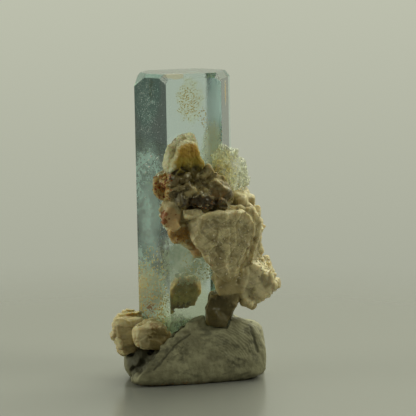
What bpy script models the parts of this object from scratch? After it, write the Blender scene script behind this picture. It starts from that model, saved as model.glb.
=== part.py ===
"""Aquamarine crystal grown with feldspar and quartz, standing in a lump of mounting putty.

Seen from the front (along +Y) the clear six-sided prism stands at the left, the feldspar mass climbs its
front and hangs out to the right, and the putty grips the foot of both. Every size below is in millimetres,
Z up, with Z 0 at the face the putty rests on. finish() scales each piece to metres.
"""

import math
import random
from collections import namedtuple

import bmesh
import bpy
from mathutils import Euler, Matrix, Vector

MM = 0.001
GAP = 0.3  # clearance between pieces that touch

# The prism: a six-sided crystal, its front and back faces wider than the other four.
FRONT_WIDTH = 8.5
SIDE_WIDTH = 6.45
PRISM_FOOT = 4.6
PRISM_TOP = 45.75
PRISM_PLACE = (-2.35, 1.0)  # its axis at half height, in plan
PRISM_TURN = math.radians(18)  # the front face looks a little to the right
PRISM_LEAN = math.radians(-1.0)  # the top leans to the left
RIM_SLOPE = math.radians(52)  # how steep the narrow faces round the flat end are
# How far down the six faces round the flat end reach, from the front face leftwards, and the six corners.
RIM_DEPTHS = (0.75, 0.55, 0.5, 0.6, 0.7, 0.95)
CORNER_DEPTHS = (0.5, 1.9, 0.7, 0.5, 0.9, 1.0)
# The broken foot's faces: tilt and heading in degrees, and depth.
FOOT_BREAKS = ((25, 40, 1.2), (20, 160, 1.6), (30, 280, 1.4))

# A chunk of rock is chiselled from an outline seen from the front, X and Z, between a front and a back in Y.
Chunk = namedtuple("Chunk", "outline front back seed")

# Grains are small chiselled blocks over a mass of rock: how many, their sizes, and the seed of their places.
Grains = namedtuple("Grains", "count smallest largest seed")

WEDGE = (
    (-1.7, 24.7), (0.0, 25.6), (5.8, 25.9), (8.3, 24.4), (8.5, 22.1), (6.7, 18.8), (4.1, 15.3), (2.8, 16.2),
    (-0.6, 21.2),
)
RIDGE = ((5.3, 26.2), (6.8, 26.8), (7.8, 25.4), (8.9, 23.6), (8.7, 20.1), (8.3, 18.3), (5.9, 18.3))
RIDGE_LUMP = ((4.7, 26.6), (5.5, 28.0), (6.9, 28.0), (7.5, 26.5), (7.7, 24.7), (5.3, 24.4))
TOOTH = (
    (-5.5, 26.0), (-4.6, 27.0), (-3.5, 27.2), (-2.5, 26.0), (-2.6, 24.2), (-3.5, 23.4), (-5.2, 23.9),
    (-5.8, 24.8),
)
PALE_CUBE = ((-2.5, 26.1), (-1.4, 26.7), (0.0, 26.5), (0.4, 25.5), (-0.6, 24.6), (-2.2, 24.9))
LEFT_CRUST = ((-5.6, 24.0), (-2.6, 24.6), (0.6, 24.3), (0.9, 21.0), (-1.5, 20.4), (-3.7, 21.5), (-5.1, 22.8))
LOW_CRUST = ((-2.1, 21.4), (0.6, 22.3), (3.5, 20.2), (4.1, 16.7), (1.8, 18.2), (-0.9, 19.3))
SHELF = ((-4.1, 25.7), (0.0, 26.4), (5.3, 26.6), (7.0, 25.7), (6.7, 24.0), (0.0, 23.7), (-3.5, 24.3))
RIGHT_FACE_MASS = ((3.3, 26.1), (7.5, 26.4), (8.1, 22.5), (7.5, 17.6), (3.6, 16.4))
COLUMN_TOP = ((3.0, 18.3), (6.9, 18.9), (6.8, 15.0), (5.9, 12.9), (2.4, 12.6), (1.8, 15.0))
COLUMN_FOOT = ((1.2, 13.7), (5.9, 13.7), (5.0, 11.3), (3.9, 8.6), (0.9, 8.3), (0.6, 11.0))
LOBE_TOP = ((5.4, 17.6), (7.1, 19.1), (9.2, 17.6), (10.7, 15.8), (10.5, 13.7), (6.0, 13.4))
LOBE_END = ((8.1, 16.4), (10.1, 16.4), (11.3, 14.6), (10.6, 12.9), (9.7, 12.3), (7.8, 12.4))
LOBE_LOW = ((5.7, 14.3), (9.9, 13.7), (9.6, 11.7), (8.1, 11.1), (6.6, 11.5), (5.5, 12.6))

SMOOTH_FELDSPAR = (
    Chunk(WEDGE, -8.8, -3.0, 11),
    Chunk(PALE_CUBE, -10.0, -6.2, 12),
    Chunk(SHELF, -7.4, -3.0, 13),
    Chunk(COLUMN_FOOT, -5.8, -0.8, 14),
)
ROUGH_FELDSPAR = (
    Chunk(RIDGE, -6.2, 2.0, 21),
    Chunk(RIDGE_LUMP, -5.4, 0.6, 22),
    Chunk(TOOTH, -9.6, -5.0, 23),
    Chunk(LEFT_CRUST, -7.6, -4.0, 24),
    Chunk(LOW_CRUST, -6.2, -3.0, 25),
    Chunk(RIGHT_FACE_MASS, -4.0, 4.4, 26),
    Chunk(COLUMN_TOP, -6.2, -0.2, 27),
    Chunk(LOBE_TOP, -5.0, 1.8, 28),
    Chunk(LOBE_END, -4.4, 0.6, 29),
    Chunk(LOBE_LOW, -4.6, 1.2, 30),
)
FELDSPAR_GRAINS = Grains(46, 0.9, 1.8, 81)

QUARTZ_LEDGE = ((-5.4, 30.4), (-4.4, 31.2), (-2.8, 31.1), (-1.7, 30.4), (-2.3, 29.5), (-4.6, 29.5))
QUARTZ_FRONT = (
    (-5.1, 29.0), (-4.2, 30.0), (-2.0, 30.4), (-0.3, 29.6), (0.1, 27.8), (-0.6, 26.5), (-2.9, 26.3),
    (-4.8, 26.9),
)
QUARTZ_MIDDLE = ((-1.2, 28.6), (0.0, 29.8), (1.7, 29.2), (2.5, 27.5), (1.7, 26.3), (-0.6, 26.3))
QUARTZ_RIGHT = ((0.6, 30.0), (2.3, 30.9), (3.9, 29.4), (4.8, 27.6), (4.1, 26.6), (1.5, 26.7))
QUARTZ_SMALL = ((2.0, 27.1), (2.8, 28.0), (4.1, 27.7), (4.6, 26.9), (3.9, 26.0), (2.3, 26.1))
QUARTZ_TOP = ((-1.2, 30.2), (0.0, 32.1), (1.3, 32.7), (2.3, 31.6), (3.2, 29.9), (2.0, 28.7), (-0.9, 28.7))
QUARTZ_NECK = ((-5.0, 29.9), (-4.1, 32.0), (-1.5, 32.9), (0.9, 31.4), (0.6, 29.0), (-4.4, 28.8))
QUARTZ_CRUMBS = (
    (-6.4, 30.8), (-5.5, 31.8), (-4.2, 31.3), (-3.8, 29.3), (-4.4, 27.2), (-5.7, 27.5), (-6.6, 29.0),
)

SMOKY_QUARTZ = (
    Chunk(QUARTZ_LEDGE, -9.2, -6.0, 41),
    Chunk(QUARTZ_FRONT, -9.8, -5.0, 42),
    Chunk(QUARTZ_MIDDLE, -9.5, -5.0, 43),
    Chunk(QUARTZ_RIGHT, -8.6, -3.6, 44),
    Chunk(QUARTZ_SMALL, -9.2, -5.6, 45),
    Chunk(QUARTZ_TOP, -7.8, -3.6, 46),
    Chunk(QUARTZ_NECK, -7.8, -4.6, 47),
    Chunk(QUARTZ_CRUMBS, -7.6, -5.0, 48),
)
QUARTZ_GRAINS = Grains(24, 0.8, 1.5, 82)

KNOB_RIM = (
    (-5.3, 30.0), (-5.4, 33.3), (-4.7, 35.2), (-3.2, 36.5), (-1.9, 37.1), (-1.0, 36.9), (-0.4, 35.3),
    (-0.6, 30.6),
)
KNOB_CORE = (
    (-4.1, 29.7), (-4.1, 33.5), (-3.2, 35.4), (-1.9, 36.1), (-0.6, 35.7), (0.3, 34.0), (0.6, 31.7),
    (1.5, 29.4),
)
KNOB_RIGHT = ((-0.6, 29.2), (-0.1, 32.1), (0.9, 32.4), (2.0, 31.0), (2.0, 29.2))
STAINED_KNOB = (
    Chunk(KNOB_RIM, -6.7, -4.2, 51),
    Chunk(KNOB_CORE, -8.4, -4.6, 52),
    Chunk(KNOB_RIGHT, -7.2, -4.0, 53),
)
KNOB_GRAINS = Grains(8, 0.8, 1.3, 83)

BERYL_SIDE = (
    (3.1, 32.4), (4.2, 34.3), (5.1, 34.5), (5.7, 32.7), (6.1, 30.6), (6.1, 28.2), (5.4, 26.5), (3.9, 27.0),
    (2.8, 29.4),
)
BERYL_FRONT = ((1.4, 30.6), (1.9, 33.4), (3.2, 35.4), (4.2, 34.9), (4.4, 30.4), (4.2, 27.0), (2.4, 27.4))
BERYL_CRUST = (
    Chunk(BERYL_SIDE, -2.9, 3.2, 54),
    Chunk(BERYL_FRONT, -4.5, -2.4, 55),
)
BERYL_POINTS = 34  # small crystals that stand out of the crust
BERYL_SEED = 5
SIDE_AIMS = ((0.3, 1.0), (-1.0, 0.5), (-0.8, 0.9))  # spans of X, Y and Z that their places are drawn from
FRONT_AIMS = ((-0.4, 0.3), (-0.4, -0.3), (-0.9, 0.9))
POINT_LEANS = ((0.2, 1.0), (-0.9, 0.2), (-0.4, 0.8))  # the same for the way they point
POINT_WIDTHS = (0.8, 1.4)
POINT_LENGTHS = (0.8, 1.4)
POINT_SLOPE = Vector((0.72, 0.0, 0.69))  # how the ends of a small crystal taper, outwards and upwards
POINT_JITTER = 3  # degrees that its sides are out of true, at most
POINT_SIDES = (0.85, 1.1)  # its uneven sides and end faces, as shares of its width and length
POINT_ENDS = (0.8, 1.0)

FOOT_MAIN = ((-12.9, 8.3), (-12.3, 9.3), (-9.1, 9.2), (-8.4, 7.8), (-8.5, 5.4), (-11.6, 4.8), (-12.7, 6.1))
FOOT_TOP = ((-12.3, 9.3), (-9.0, 9.6), (-8.7, 7.8), (-12.0, 7.8))
FOOT_RIGHT = ((-9.8, 8.2), (-7.4, 9.1), (-5.0, 8.5), (-4.7, 6.0), (-5.9, 4.8), (-9.4, 5.2))
FOOT_LEDGE = ((-12.4, 5.5), (-9.3, 5.5), (-9.1, 4.0), (-10.8, 3.7), (-12.0, 4.3))
FELDSPAR_FOOT = (
    Chunk(FOOT_MAIN, -5.2, 0.2, 61),
    Chunk(FOOT_TOP, -3.4, 0.9, 62),
    Chunk(FOOT_RIGHT, -7.2, -2.8, 63),
    Chunk(FOOT_LEDGE, -4.6, -0.6, 64),
)
FOOT_GRAINS = Grains(12, 0.8, 1.3, 84)

BACK_MAIN = ((-6.2, 12.0), (-4.6, 14.2), (-2.6, 14.0), (-1.3, 11.8), (-2.2, 9.8), (-4.8, 9.6))
BACK_LOW = ((-6.8, 11.2), (-5.2, 12.0), (-4.2, 9.8), (-6.0, 9.2))
FELDSPAR_BACK = (
    Chunk(BACK_MAIN, 4.6, 9.4, 71),
    Chunk(BACK_LOW, 4.4, 8.0, 72),
)
BACK_GRAINS = Grains(8, 0.9, 1.5, 85)

START_SIDE = 120.0  # the cube that every convex body is cut from
LEAST_FACING = 1e-4  # planes that a ray meets at less than this are passed over
SIDE_TILT = 0.25  # how far a chunk's sides lean to the front or back, at most
FACE_TILT = 0.14  # the same for its front and back faces
TRIMS = 9  # corners struck off each chunk
TRIM_DEPTHS = (0.84, 0.96)  # where a trim crosses, as shares of the way from the middle to the corner
GRAIN_SINK = 0.9  # a grain's middle, as a share of the way from its chunk's middle to the surface
GRAIN_TURN = math.radians(40)
GRAIN_HALF = (0.35, 0.6)  # from a grain's middle to its sides, as shares of its size
GRAIN_TRIMS = 6
GRAIN_CORNERS = (0.42, 0.6)  # the same to its struck corners
POINT_SINK = 0.3  # share of a small crystal's length that is rooted in the crust

# The putty: a front flap folded up against the prism, drawn in front view, and the pad behind it, in plan.
FLAP_OUTLINE = (
    (-10.3, -1.0), (-10.8, 1.0), (-9.0, 2.9), (-7.2, 4.7), (-5.5, 6.6), (-3.7, 8.3), (-1.9, 9.5), (0.6, 10.1),
    (3.6, 9.8), (6.6, 9.1), (8.7, 8.0), (9.7, 6.0), (10.4, 4.0), (10.3, 1.6), (9.6, -1.0),
)
FLAP_THICK = 4.6
FLAP_BELLY = 1.5  # how far its middle stands out
FLAP_PLACE = (0.0, -4.7)
FLAP_TURN = math.radians(17)
FLAP_LEAN = math.radians(-14)  # the top leans back against the prism
PAD_OUTLINE = (
    (-10.3, -2.6), (-7.0, -5.6), (-1.0, -5.4), (6.0, -4.4), (9.9, -1.4), (10.1, 3.6), (7.4, 7.8), (1.6, 9.4),
    (-4.6, 8.8), (-9.2, 6.0), (-10.9, 1.4),
)
PAD_BOTTOM = -2.0  # cut off at Z 0
PAD_TOP = 7.4
PAD_ROLLS = (  # middle, radii: the left lump behind the fold, and the rolls pressed up round the back
    ((-8.6, -2.2, 2.4), (2.9, 3.4, 3.3)),
    ((-4.6, 7.0, 5.6), (3.6, 2.2, 2.4)),
    ((3.0, 7.2, 5.4), (4.2, 2.2, 2.6)),
    ((7.4, 1.6, 4.6), (2.4, 4.4, 2.7)),
)
SLAB_INSET = 1.5  # width of the rounded edge of a slab of putty


def carve(planes, grow=0.0):
    """A convex solid: a large cube cut by each plane in turn, every plane moved out by grow."""
    shape = bmesh.new()
    bmesh.ops.create_cube(shape, size=START_SIDE)
    for direction, distance in planes:
        everything = shape.verts[:] + shape.edges[:] + shape.faces[:]
        cut = bmesh.ops.bisect_plane(
            shape, geom=everything, dist=1e-6, plane_co=direction * (distance + grow), plane_no=direction,
            clear_outer=True,
        )
        rim = [part for part in cut["geom_cut"] if isinstance(part, bmesh.types.BMEdge)]
        if len(rim) > 2:
            bmesh.ops.edgeloop_fill(shape, edges=rim)
    bmesh.ops.recalc_face_normals(shape, faces=shape.faces)
    return shape


def add_to(target, shape, place=None):
    """Moves shape by the matrix place and adds it to the bmesh target."""
    if place:
        bmesh.ops.transform(shape, matrix=place, verts=shape.verts)
    mesh = bpy.data.meshes.new("shape")
    shape.to_mesh(mesh)
    shape.free()
    target.from_mesh(mesh)
    bpy.data.meshes.remove(mesh)


def random_direction(draws):
    """A unit vector that points anywhere."""
    return Vector([draws.gauss(0, 1) for _ in range(3)]).normalized()


def chunk_middle(chunk):
    """The middle of a chunk."""
    count = len(chunk.outline)
    across = sum(x for x, _ in chunk.outline) / count
    high = sum(z for _, z in chunk.outline) / count
    return Vector((across, (chunk.front + chunk.back) / 2, high))


def chunk_planes(chunk):
    """A chunk's faces as cutting planes: its outline's sides, its front and back, and its struck corners."""
    draws = random.Random(chunk.seed)
    middle = chunk_middle(chunk)
    planes = []
    for (x, z), (next_x, next_z) in zip(chunk.outline, chunk.outline[1:] + chunk.outline[:1]):
        corner = Vector((x, middle.y, z))
        side = Vector((next_z - z, 0, x - next_x)).normalized()
        if side.dot(corner - middle) < 0:
            side.negate()
        side.y = draws.uniform(-SIDE_TILT, SIDE_TILT)
        side.normalize()
        planes.append((side, side.dot(corner)))
    outward = Vector((math.sin(PRISM_TURN), -math.cos(PRISM_TURN), 0))
    for depth, sense in ((chunk.front, 1), (chunk.back, -1)):
        lean = Vector((draws.uniform(-FACE_TILT, FACE_TILT), 0, draws.uniform(-FACE_TILT, FACE_TILT)))
        facing = (outward * sense + lean).normalized()
        planes.append((facing, facing.dot(Vector((middle.x, depth, middle.z)))))
    corners = [Vector((x, y, z)) - middle for x, z in chunk.outline for y in (chunk.front, chunk.back)]
    for _ in range(TRIMS):
        direction = random_direction(draws)
        reach = max(direction.dot(corner) for corner in corners)
        planes.append((direction, direction.dot(middle) + reach * draws.uniform(*TRIM_DEPTHS)))
    return planes


def grain_planes(middle, size, draws):
    """The faces of a small chiselled grain as cutting planes."""
    planes = []
    turn = Euler([draws.uniform(-GRAIN_TURN, GRAIN_TURN) for _ in range(3)]).to_matrix()
    half = [size * draws.uniform(*GRAIN_HALF) for _ in range(3)]
    for axis in range(3):
        for sign in (1, -1):
            direction = turn.col[axis] * sign
            planes.append((direction, direction.dot(middle) + half[axis]))
    for _ in range(GRAIN_TRIMS):
        direction = random_direction(draws)
        planes.append((direction, direction.dot(middle) + size * draws.uniform(*GRAIN_CORNERS)))
    return planes


def surface_point(planes, middle, direction):
    """Where a ray from the middle of a convex body leaves it."""
    ways = [
        (distance - facing.dot(middle)) / facing.dot(direction)
        for facing, distance in planes
        if facing.dot(direction) > LEAST_FACING
    ]
    return middle + direction * min(ways)


def grain_bodies(chunks, grains):
    """Grains on the chunks' outer sides, those that face away from the prism, as lists of cutting planes."""
    draws = random.Random(grains.seed)
    found = []
    while len(found) < grains.count:
        chunk = draws.choice(chunks)
        middle = chunk_middle(chunk)
        direction = random_direction(draws)
        outward = Vector((middle.x - PRISM_PLACE[0], middle.y - PRISM_PLACE[1], 0))
        if direction.dot(outward) < 0:
            continue
        rim = surface_point(chunk_planes(chunk), middle, direction)
        size = draws.uniform(grains.smallest, grains.largest)
        found.append(grain_planes(middle.lerp(rim, GRAIN_SINK), size, draws))
    return found


def rock(smooth, rough, grains):
    """The convex bodies of a mass of rock: its smooth and rough chunks, and grains over the rough ones."""
    return [chunk_planes(chunk) for chunk in smooth + rough] + grain_bodies(rough, grains)


def prism_planes():
    """The prism's faces as cutting planes, about its axis, from its foot at Z 0."""
    height = PRISM_TOP - PRISM_FOOT
    front = SIDE_WIDTH * math.sin(math.radians(60))
    side = FRONT_WIDTH / 2 * math.cos(math.radians(30)) + SIDE_WIDTH * math.cos(math.radians(60)) * math.cos(
        math.radians(30)
    )
    reaches = (front, side, side, front, side, side)
    planes = [(Vector((0, 0, 1)), height)]
    for n, reach in enumerate(reaches):
        angle = math.radians(-90 - 60 * n)
        across = Vector((math.cos(angle), math.sin(angle), 0))
        planes.append((across, reach))
        slope = across * math.sin(RIM_SLOPE) + Vector((0, 0, math.cos(RIM_SLOPE)))
        rim = across * reach + Vector((0, 0, height - RIM_DEPTHS[n]))
        planes.append((slope, slope.dot(rim)))
    corner_out = math.hypot(FRONT_WIDTH / 2, front)
    side_out = FRONT_WIDTH / 2 + SIDE_WIDTH / 2
    corners = (
        (-FRONT_WIDTH / 2, -front), (-side_out, 0), (-FRONT_WIDTH / 2, front),
        (FRONT_WIDTH / 2, front), (side_out, 0), (FRONT_WIDTH / 2, -front),
    )
    for (x, y), depth in zip(corners, CORNER_DEPTHS):
        across = Vector((x, y, 0)).normalized()
        slope = across * math.sin(RIM_SLOPE) + Vector((0, 0, math.cos(RIM_SLOPE)))
        rim = Vector((x, y, height - depth))
        planes.append((slope, slope.dot(rim)))
    for tilt, heading, depth in FOOT_BREAKS:
        lean, turn = math.radians(tilt), math.radians(heading)
        down = Vector((math.sin(lean) * math.cos(turn), math.sin(lean) * math.sin(turn), -math.cos(lean)))
        planes.append((down, corner_out * math.sin(lean) - depth))
    planes.append((Vector((0, 0, -1)), 0.0))
    return planes


def prism_place():
    """Where the prism's foot stands, turned and leaning."""
    middle = Matrix.Translation((PRISM_PLACE[0], PRISM_PLACE[1], (PRISM_TOP + PRISM_FOOT) / 2))
    lean = Matrix.Rotation(PRISM_LEAN, 4, "Y")
    down = Matrix.Translation((0, 0, (PRISM_FOOT - PRISM_TOP) / 2))
    return middle @ lean @ down @ Matrix.Rotation(PRISM_TURN, 4, "Z")


def add_prism(target, grow=0.0):
    """Adds the whole prism, every face moved out by grow."""
    add_to(target, carve(prism_planes(), grow), prism_place())


def add_point(target, root, direction, width, length, draws):
    """Adds a small six-sided crystal with an uneven pointed end, from root along direction."""
    planes = [(Vector((0, 0, -1)), length * POINT_SINK)]
    for n in range(6):
        turn = Matrix.Rotation(math.radians(60 * n + draws.uniform(-POINT_JITTER, POINT_JITTER)), 3, "Z")
        planes.append((turn @ Vector((1, 0, 0)), width / 2 * draws.uniform(*POINT_SIDES)))
        slope = (turn @ POINT_SLOPE).normalized()
        planes.append((slope, slope.z * length * draws.uniform(*POINT_ENDS)))
    aim = Vector((0, 0, 1)).rotation_difference(direction).to_matrix().to_4x4()
    add_to(target, carve(planes), Matrix.Translation(root) @ aim)


def drawn(spans, draws):
    """A vector whose parts are drawn from three spans."""
    return Vector([draws.uniform(*span) for span in spans])


def add_beryl_points(target):
    """Adds the small crystals that stand out of the crust, two on its side for each one on its front."""
    draws = random.Random(BERYL_SEED)
    side, front = BERYL_CRUST
    for n in range(BERYL_POINTS):
        chunk, aims = (front, FRONT_AIMS) if n % 3 == 2 else (side, SIDE_AIMS)
        root = surface_point(chunk_planes(chunk), chunk_middle(chunk), drawn(aims, draws).normalized())
        lean = drawn(POINT_LEANS, draws).normalized()
        add_point(target, root, lean, draws.uniform(*POINT_WIDTHS), draws.uniform(*POINT_LENGTHS), draws)


def add_slab(target, outline, low, high, place, belly=0.0):
    """Adds an outline drawn in X and Y, raised from low to high, its top pushed out by belly, and rounded."""
    shape = bmesh.new()
    corners = [shape.verts.new((x, y, low)) for x, y in outline]
    base = shape.faces.new(corners)
    raised = bmesh.ops.extrude_face_region(shape, geom=[base])["geom"]
    top = [part for part in raised if isinstance(part, bmesh.types.BMVert)]
    bmesh.ops.translate(shape, verts=top, vec=(0, 0, high - low))
    bmesh.ops.recalc_face_normals(shape, faces=shape.faces)
    caps = [face for face in shape.faces if abs(face.normal.z) > 0.9]
    bmesh.ops.inset_individual(shape, faces=caps, thickness=SLAB_INSET, depth=0.0)
    for face in caps:
        if face.normal.z > 0:
            bmesh.ops.translate(shape, verts=face.verts, vec=(0, 0, belly))
    mesh = bpy.data.meshes.new("slab")
    shape.to_mesh(mesh)
    shape.free()
    rounded = bpy.data.objects.new("slab", mesh)
    bpy.context.collection.objects.link(rounded)
    soft = rounded.modifiers.new("round", "SUBSURF")
    soft.levels = soft.render_levels = 2
    settled = evaluated_mesh(rounded)
    bpy.data.objects.remove(rounded)
    settled.transform(place)
    target.from_mesh(settled)
    bpy.data.meshes.remove(settled)


def add_ball(target, middle, radii):
    """Adds an ellipsoid."""
    shape = bmesh.new()
    bmesh.ops.create_icosphere(shape, subdivisions=3, radius=1.0)
    add_to(target, shape, Matrix.Translation(middle) @ Matrix.Diagonal((*radii, 1)))


def evaluated_mesh(obj):
    """The object's mesh with its modifiers applied."""
    bpy.context.view_layer.update()
    graph = bpy.context.evaluated_depsgraph_get()
    return bpy.data.meshes.new_from_object(obj.evaluated_get(graph), depsgraph=graph)


def keep_largest(shape):
    """Removes every loose body but the largest."""
    unseen = set(shape.faces)
    bodies = []
    while unseen:
        front = [unseen.pop()]
        body = set(front)
        while front:
            face = front.pop()
            for edge in face.edges:
                for other in edge.link_faces:
                    if other in unseen:
                        unseen.remove(other)
                        body.add(other)
                        front.append(other)
        bodies.append(body)
    largest = max(bodies, key=lambda body: sum(face.calc_area() for face in body))
    loose = [face for body in bodies if body is not largest for face in body]
    bmesh.ops.delete(shape, geom=loose, context="FACES")


def fused(solid, cutter):
    """One mesh from a bmesh of overlapping bodies, less those of the bmesh cutter."""
    pair = []
    for shape in (solid, cutter):
        mesh = bpy.data.meshes.new("fusing")
        shape.to_mesh(mesh)
        shape.free()
        pair.append(bpy.data.objects.new("fusing", mesh))
        bpy.context.collection.objects.link(pair[-1])
    join = pair[0].modifiers.new("fuse", "BOOLEAN")
    join.operation = "DIFFERENCE"
    join.object = pair[1]
    join.use_self = True
    mesh = evaluated_mesh(pair[0])
    for obj in pair:
        bpy.data.objects.remove(obj)
    return mesh


def surface(name, colour, roughness, transmission=0.0, ior=1.5):
    """A plain material in a piece's own colour."""
    material = bpy.data.materials.new(name)
    material.use_nodes = True
    shader = material.node_tree.nodes["Principled BSDF"]
    shader.inputs["Base Color"].default_value = (*colour, 1.0)
    shader.inputs["Roughness"].default_value = roughness
    shader.inputs["Metallic"].default_value = 0.0
    shader.inputs["Transmission Weight"].default_value = transmission
    shader.inputs["IOR"].default_value = ior
    material.diffuse_color = (*colour, 1.0)
    return material


def finish(name, mesh, material, holder):
    """Makes a named piece from a mesh in millimetres, joined to the specimen's empty."""
    shape = bmesh.new()
    shape.from_mesh(mesh)
    keep_largest(shape)
    bmesh.ops.remove_doubles(shape, verts=shape.verts, dist=1e-4)
    bmesh.ops.dissolve_degenerate(shape, dist=1e-4, edges=shape.edges)
    bmesh.ops.triangulate(shape, faces=shape.faces)
    bmesh.ops.scale(shape, vec=(MM, MM, MM), verts=shape.verts)
    shape.to_mesh(mesh)
    shape.free()
    piece = bpy.data.objects.new(name, mesh)
    bpy.context.collection.objects.link(piece)
    mesh.materials.clear()
    mesh.materials.append(material)
    piece.parent = holder
    return piece


def room(cutters):
    """A bmesh of the prism and of other bodies, all of them grown by the gap that pieces keep."""
    space = bmesh.new()
    add_prism(space, GAP)
    for planes in cutters:
        add_to(space, carve(planes, GAP))
    return space


def cluster(bodies, cutters=()):
    """Convex bodies fused into one mesh, with room left for the prism and the cutters."""
    solid = bmesh.new()
    for planes in bodies:
        add_to(solid, carve(planes))
    return fused(solid, room(cutters))


def prism_mesh():
    """The aquamarine prism."""
    shape = bmesh.new()
    add_prism(shape)
    mesh = bpy.data.meshes.new("prism")
    shape.to_mesh(mesh)
    shape.free()
    return mesh


def beryl_mesh(cutters):
    """The crust of small pale crystals on the prism's right side."""
    solid = bmesh.new()
    for chunk in BERYL_CRUST:
        add_to(solid, carve(chunk_planes(chunk)))
    add_beryl_points(solid)
    return fused(solid, room(cutters))


def putty_mesh(cutters):
    """The putty: pad, rolls and folded flap in one, flat underneath, pressed round what it holds."""
    solid = bmesh.new()
    add_slab(solid, PAD_OUTLINE, PAD_BOTTOM, PAD_TOP, Matrix.Identity(4))
    for middle, radii in PAD_ROLLS:
        add_ball(solid, middle, radii)
    upright = Matrix.Rotation(math.radians(90), 4, "X")
    place = Matrix.Translation((*FLAP_PLACE, 0)) @ Matrix.Rotation(FLAP_TURN, 4, "Z")
    lean = Matrix.Rotation(FLAP_LEAN, 4, "X")
    add_slab(solid, FLAP_OUTLINE, -FLAP_THICK / 2, FLAP_THICK / 2, place @ lean @ upright, FLAP_BELLY)
    space = room(cutters)
    floor = bmesh.new()
    bmesh.ops.create_cube(floor, size=START_SIDE)
    add_to(space, floor, Matrix.Translation((0, 0, -START_SIDE / 2)))
    return fused(solid, space)


def centre_base(pieces, holder):
    """Moves the specimen so that the middle of its bounding box stands over the origin."""
    bpy.context.view_layer.update()
    points = [piece.matrix_world @ vertex.co for piece in pieces for vertex in piece.data.vertices]
    middle = [(min(p[axis] for p in points) + max(p[axis] for p in points)) / 2 for axis in range(2)]
    lowest = min(p[2] for p in points)
    holder.location = (-middle[0], -middle[1], -lowest)
    bpy.context.view_layer.update()


def main():
    """Clears the scene and builds every piece."""
    for obj in list(bpy.data.objects):
        bpy.data.objects.remove(obj)
    holder = bpy.data.objects.new("specimen", None)
    bpy.context.collection.objects.link(holder)

    feldspar = rock(SMOOTH_FELDSPAR, ROUGH_FELDSPAR, FELDSPAR_GRAINS)
    quartz = rock((), SMOKY_QUARTZ, QUARTZ_GRAINS)
    knob = rock(STAINED_KNOB[1:], STAINED_KNOB[:1], KNOB_GRAINS)
    foot = rock((), FELDSPAR_FOOT, FOOT_GRAINS)
    back = rock((), FELDSPAR_BACK, BACK_GRAINS)

    cream = surface("albite", (0.52, 0.46, 0.32), 0.6)
    clear = surface("aquamarine", (0.62, 0.8, 0.78), 0.03, 1.0, 1.58)
    smoky = surface("smoky_quartz", (0.16, 0.13, 0.09), 0.3)
    stained = surface("stained_quartz", (0.3, 0.2, 0.07), 0.4)
    pale = surface("pale_beryl", (0.6, 0.62, 0.42), 0.15, 0.6)
    grey = surface("putty", (0.2, 0.19, 0.15), 0.7)
    pieces = [
        finish("aquamarine_prism", prism_mesh(), clear, holder),
        finish("albite_matrix", cluster(feldspar), cream, holder),
        finish("smoky_quartz_cluster", cluster(quartz, feldspar), smoky, holder),
        finish("stained_quartz_knob", cluster(knob, feldspar + quartz), stained, holder),
        finish("pale_beryl_crust", beryl_mesh(feldspar + quartz + knob), pale, holder),
        finish("albite_foot", cluster(foot), cream, holder),
        finish("albite_back_knob", cluster(back), cream, holder),
        finish("putty_base", putty_mesh(feldspar + foot + back), grey, holder),
    ]
    centre_base(pieces, holder)


main()
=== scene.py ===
"""The looks of a natural aquamarine specimen: a clear six-sided crystal with feldspar, smoky quartz and
pale beryl grown onto it, held upright in a lump of putty. Lengths are in millimetres until a mesh is
finished, and only then in metres."""

import logging
import math
import random
from dataclasses import dataclass, field
from enum import Enum

import bmesh
import bpy
import numpy as np
from mathutils import Matrix, Vector, noise


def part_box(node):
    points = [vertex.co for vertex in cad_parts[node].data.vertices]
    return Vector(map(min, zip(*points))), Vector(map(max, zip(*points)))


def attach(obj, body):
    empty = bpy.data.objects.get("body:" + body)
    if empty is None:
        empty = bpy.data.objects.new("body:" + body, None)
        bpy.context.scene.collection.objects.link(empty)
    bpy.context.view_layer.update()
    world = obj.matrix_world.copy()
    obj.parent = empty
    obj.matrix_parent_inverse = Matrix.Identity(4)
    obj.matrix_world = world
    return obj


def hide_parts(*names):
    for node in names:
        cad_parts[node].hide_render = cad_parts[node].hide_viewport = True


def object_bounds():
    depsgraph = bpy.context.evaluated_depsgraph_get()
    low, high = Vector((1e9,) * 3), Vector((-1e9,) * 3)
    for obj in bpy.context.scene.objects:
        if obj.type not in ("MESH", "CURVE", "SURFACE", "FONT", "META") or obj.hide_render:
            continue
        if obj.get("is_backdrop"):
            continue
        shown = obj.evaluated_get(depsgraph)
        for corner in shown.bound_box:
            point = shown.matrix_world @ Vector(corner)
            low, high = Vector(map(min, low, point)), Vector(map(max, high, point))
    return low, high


Triple = tuple[float, float, float]

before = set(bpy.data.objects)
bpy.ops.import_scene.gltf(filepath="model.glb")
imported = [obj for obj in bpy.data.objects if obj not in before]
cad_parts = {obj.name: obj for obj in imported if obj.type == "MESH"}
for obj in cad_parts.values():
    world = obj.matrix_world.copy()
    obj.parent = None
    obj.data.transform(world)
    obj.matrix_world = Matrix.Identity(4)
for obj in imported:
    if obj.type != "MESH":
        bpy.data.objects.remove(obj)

MM = 0.001
BODY = "root"
BEVEL_PROFILE = 0.5
MERGE_GAP = 0.001
TRIES_EACH = 8
RIM_THINNING = 0.7
EVEN_TONE = 0.5
FLAT = (0.0, 0.0, EVEN_TONE)  # what a relief gives where it does nothing

log = logging.getLogger("specimen")


class Slot(Enum):
    """The record's material slots."""

    AQUAMARINE = "aquamarine"
    FELDSPAR = "albite"
    SMOKY = "smoky_quartz"
    STAINED = "stained_quartz"
    PALE_BERYL = "pale_beryl"
    PUTTY = "putty"


class Mask(Enum):
    """Point attributes that a relief leaves on its mesh for the finish to read."""

    CREVICE = "crevice"
    TONE = "tone"


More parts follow.
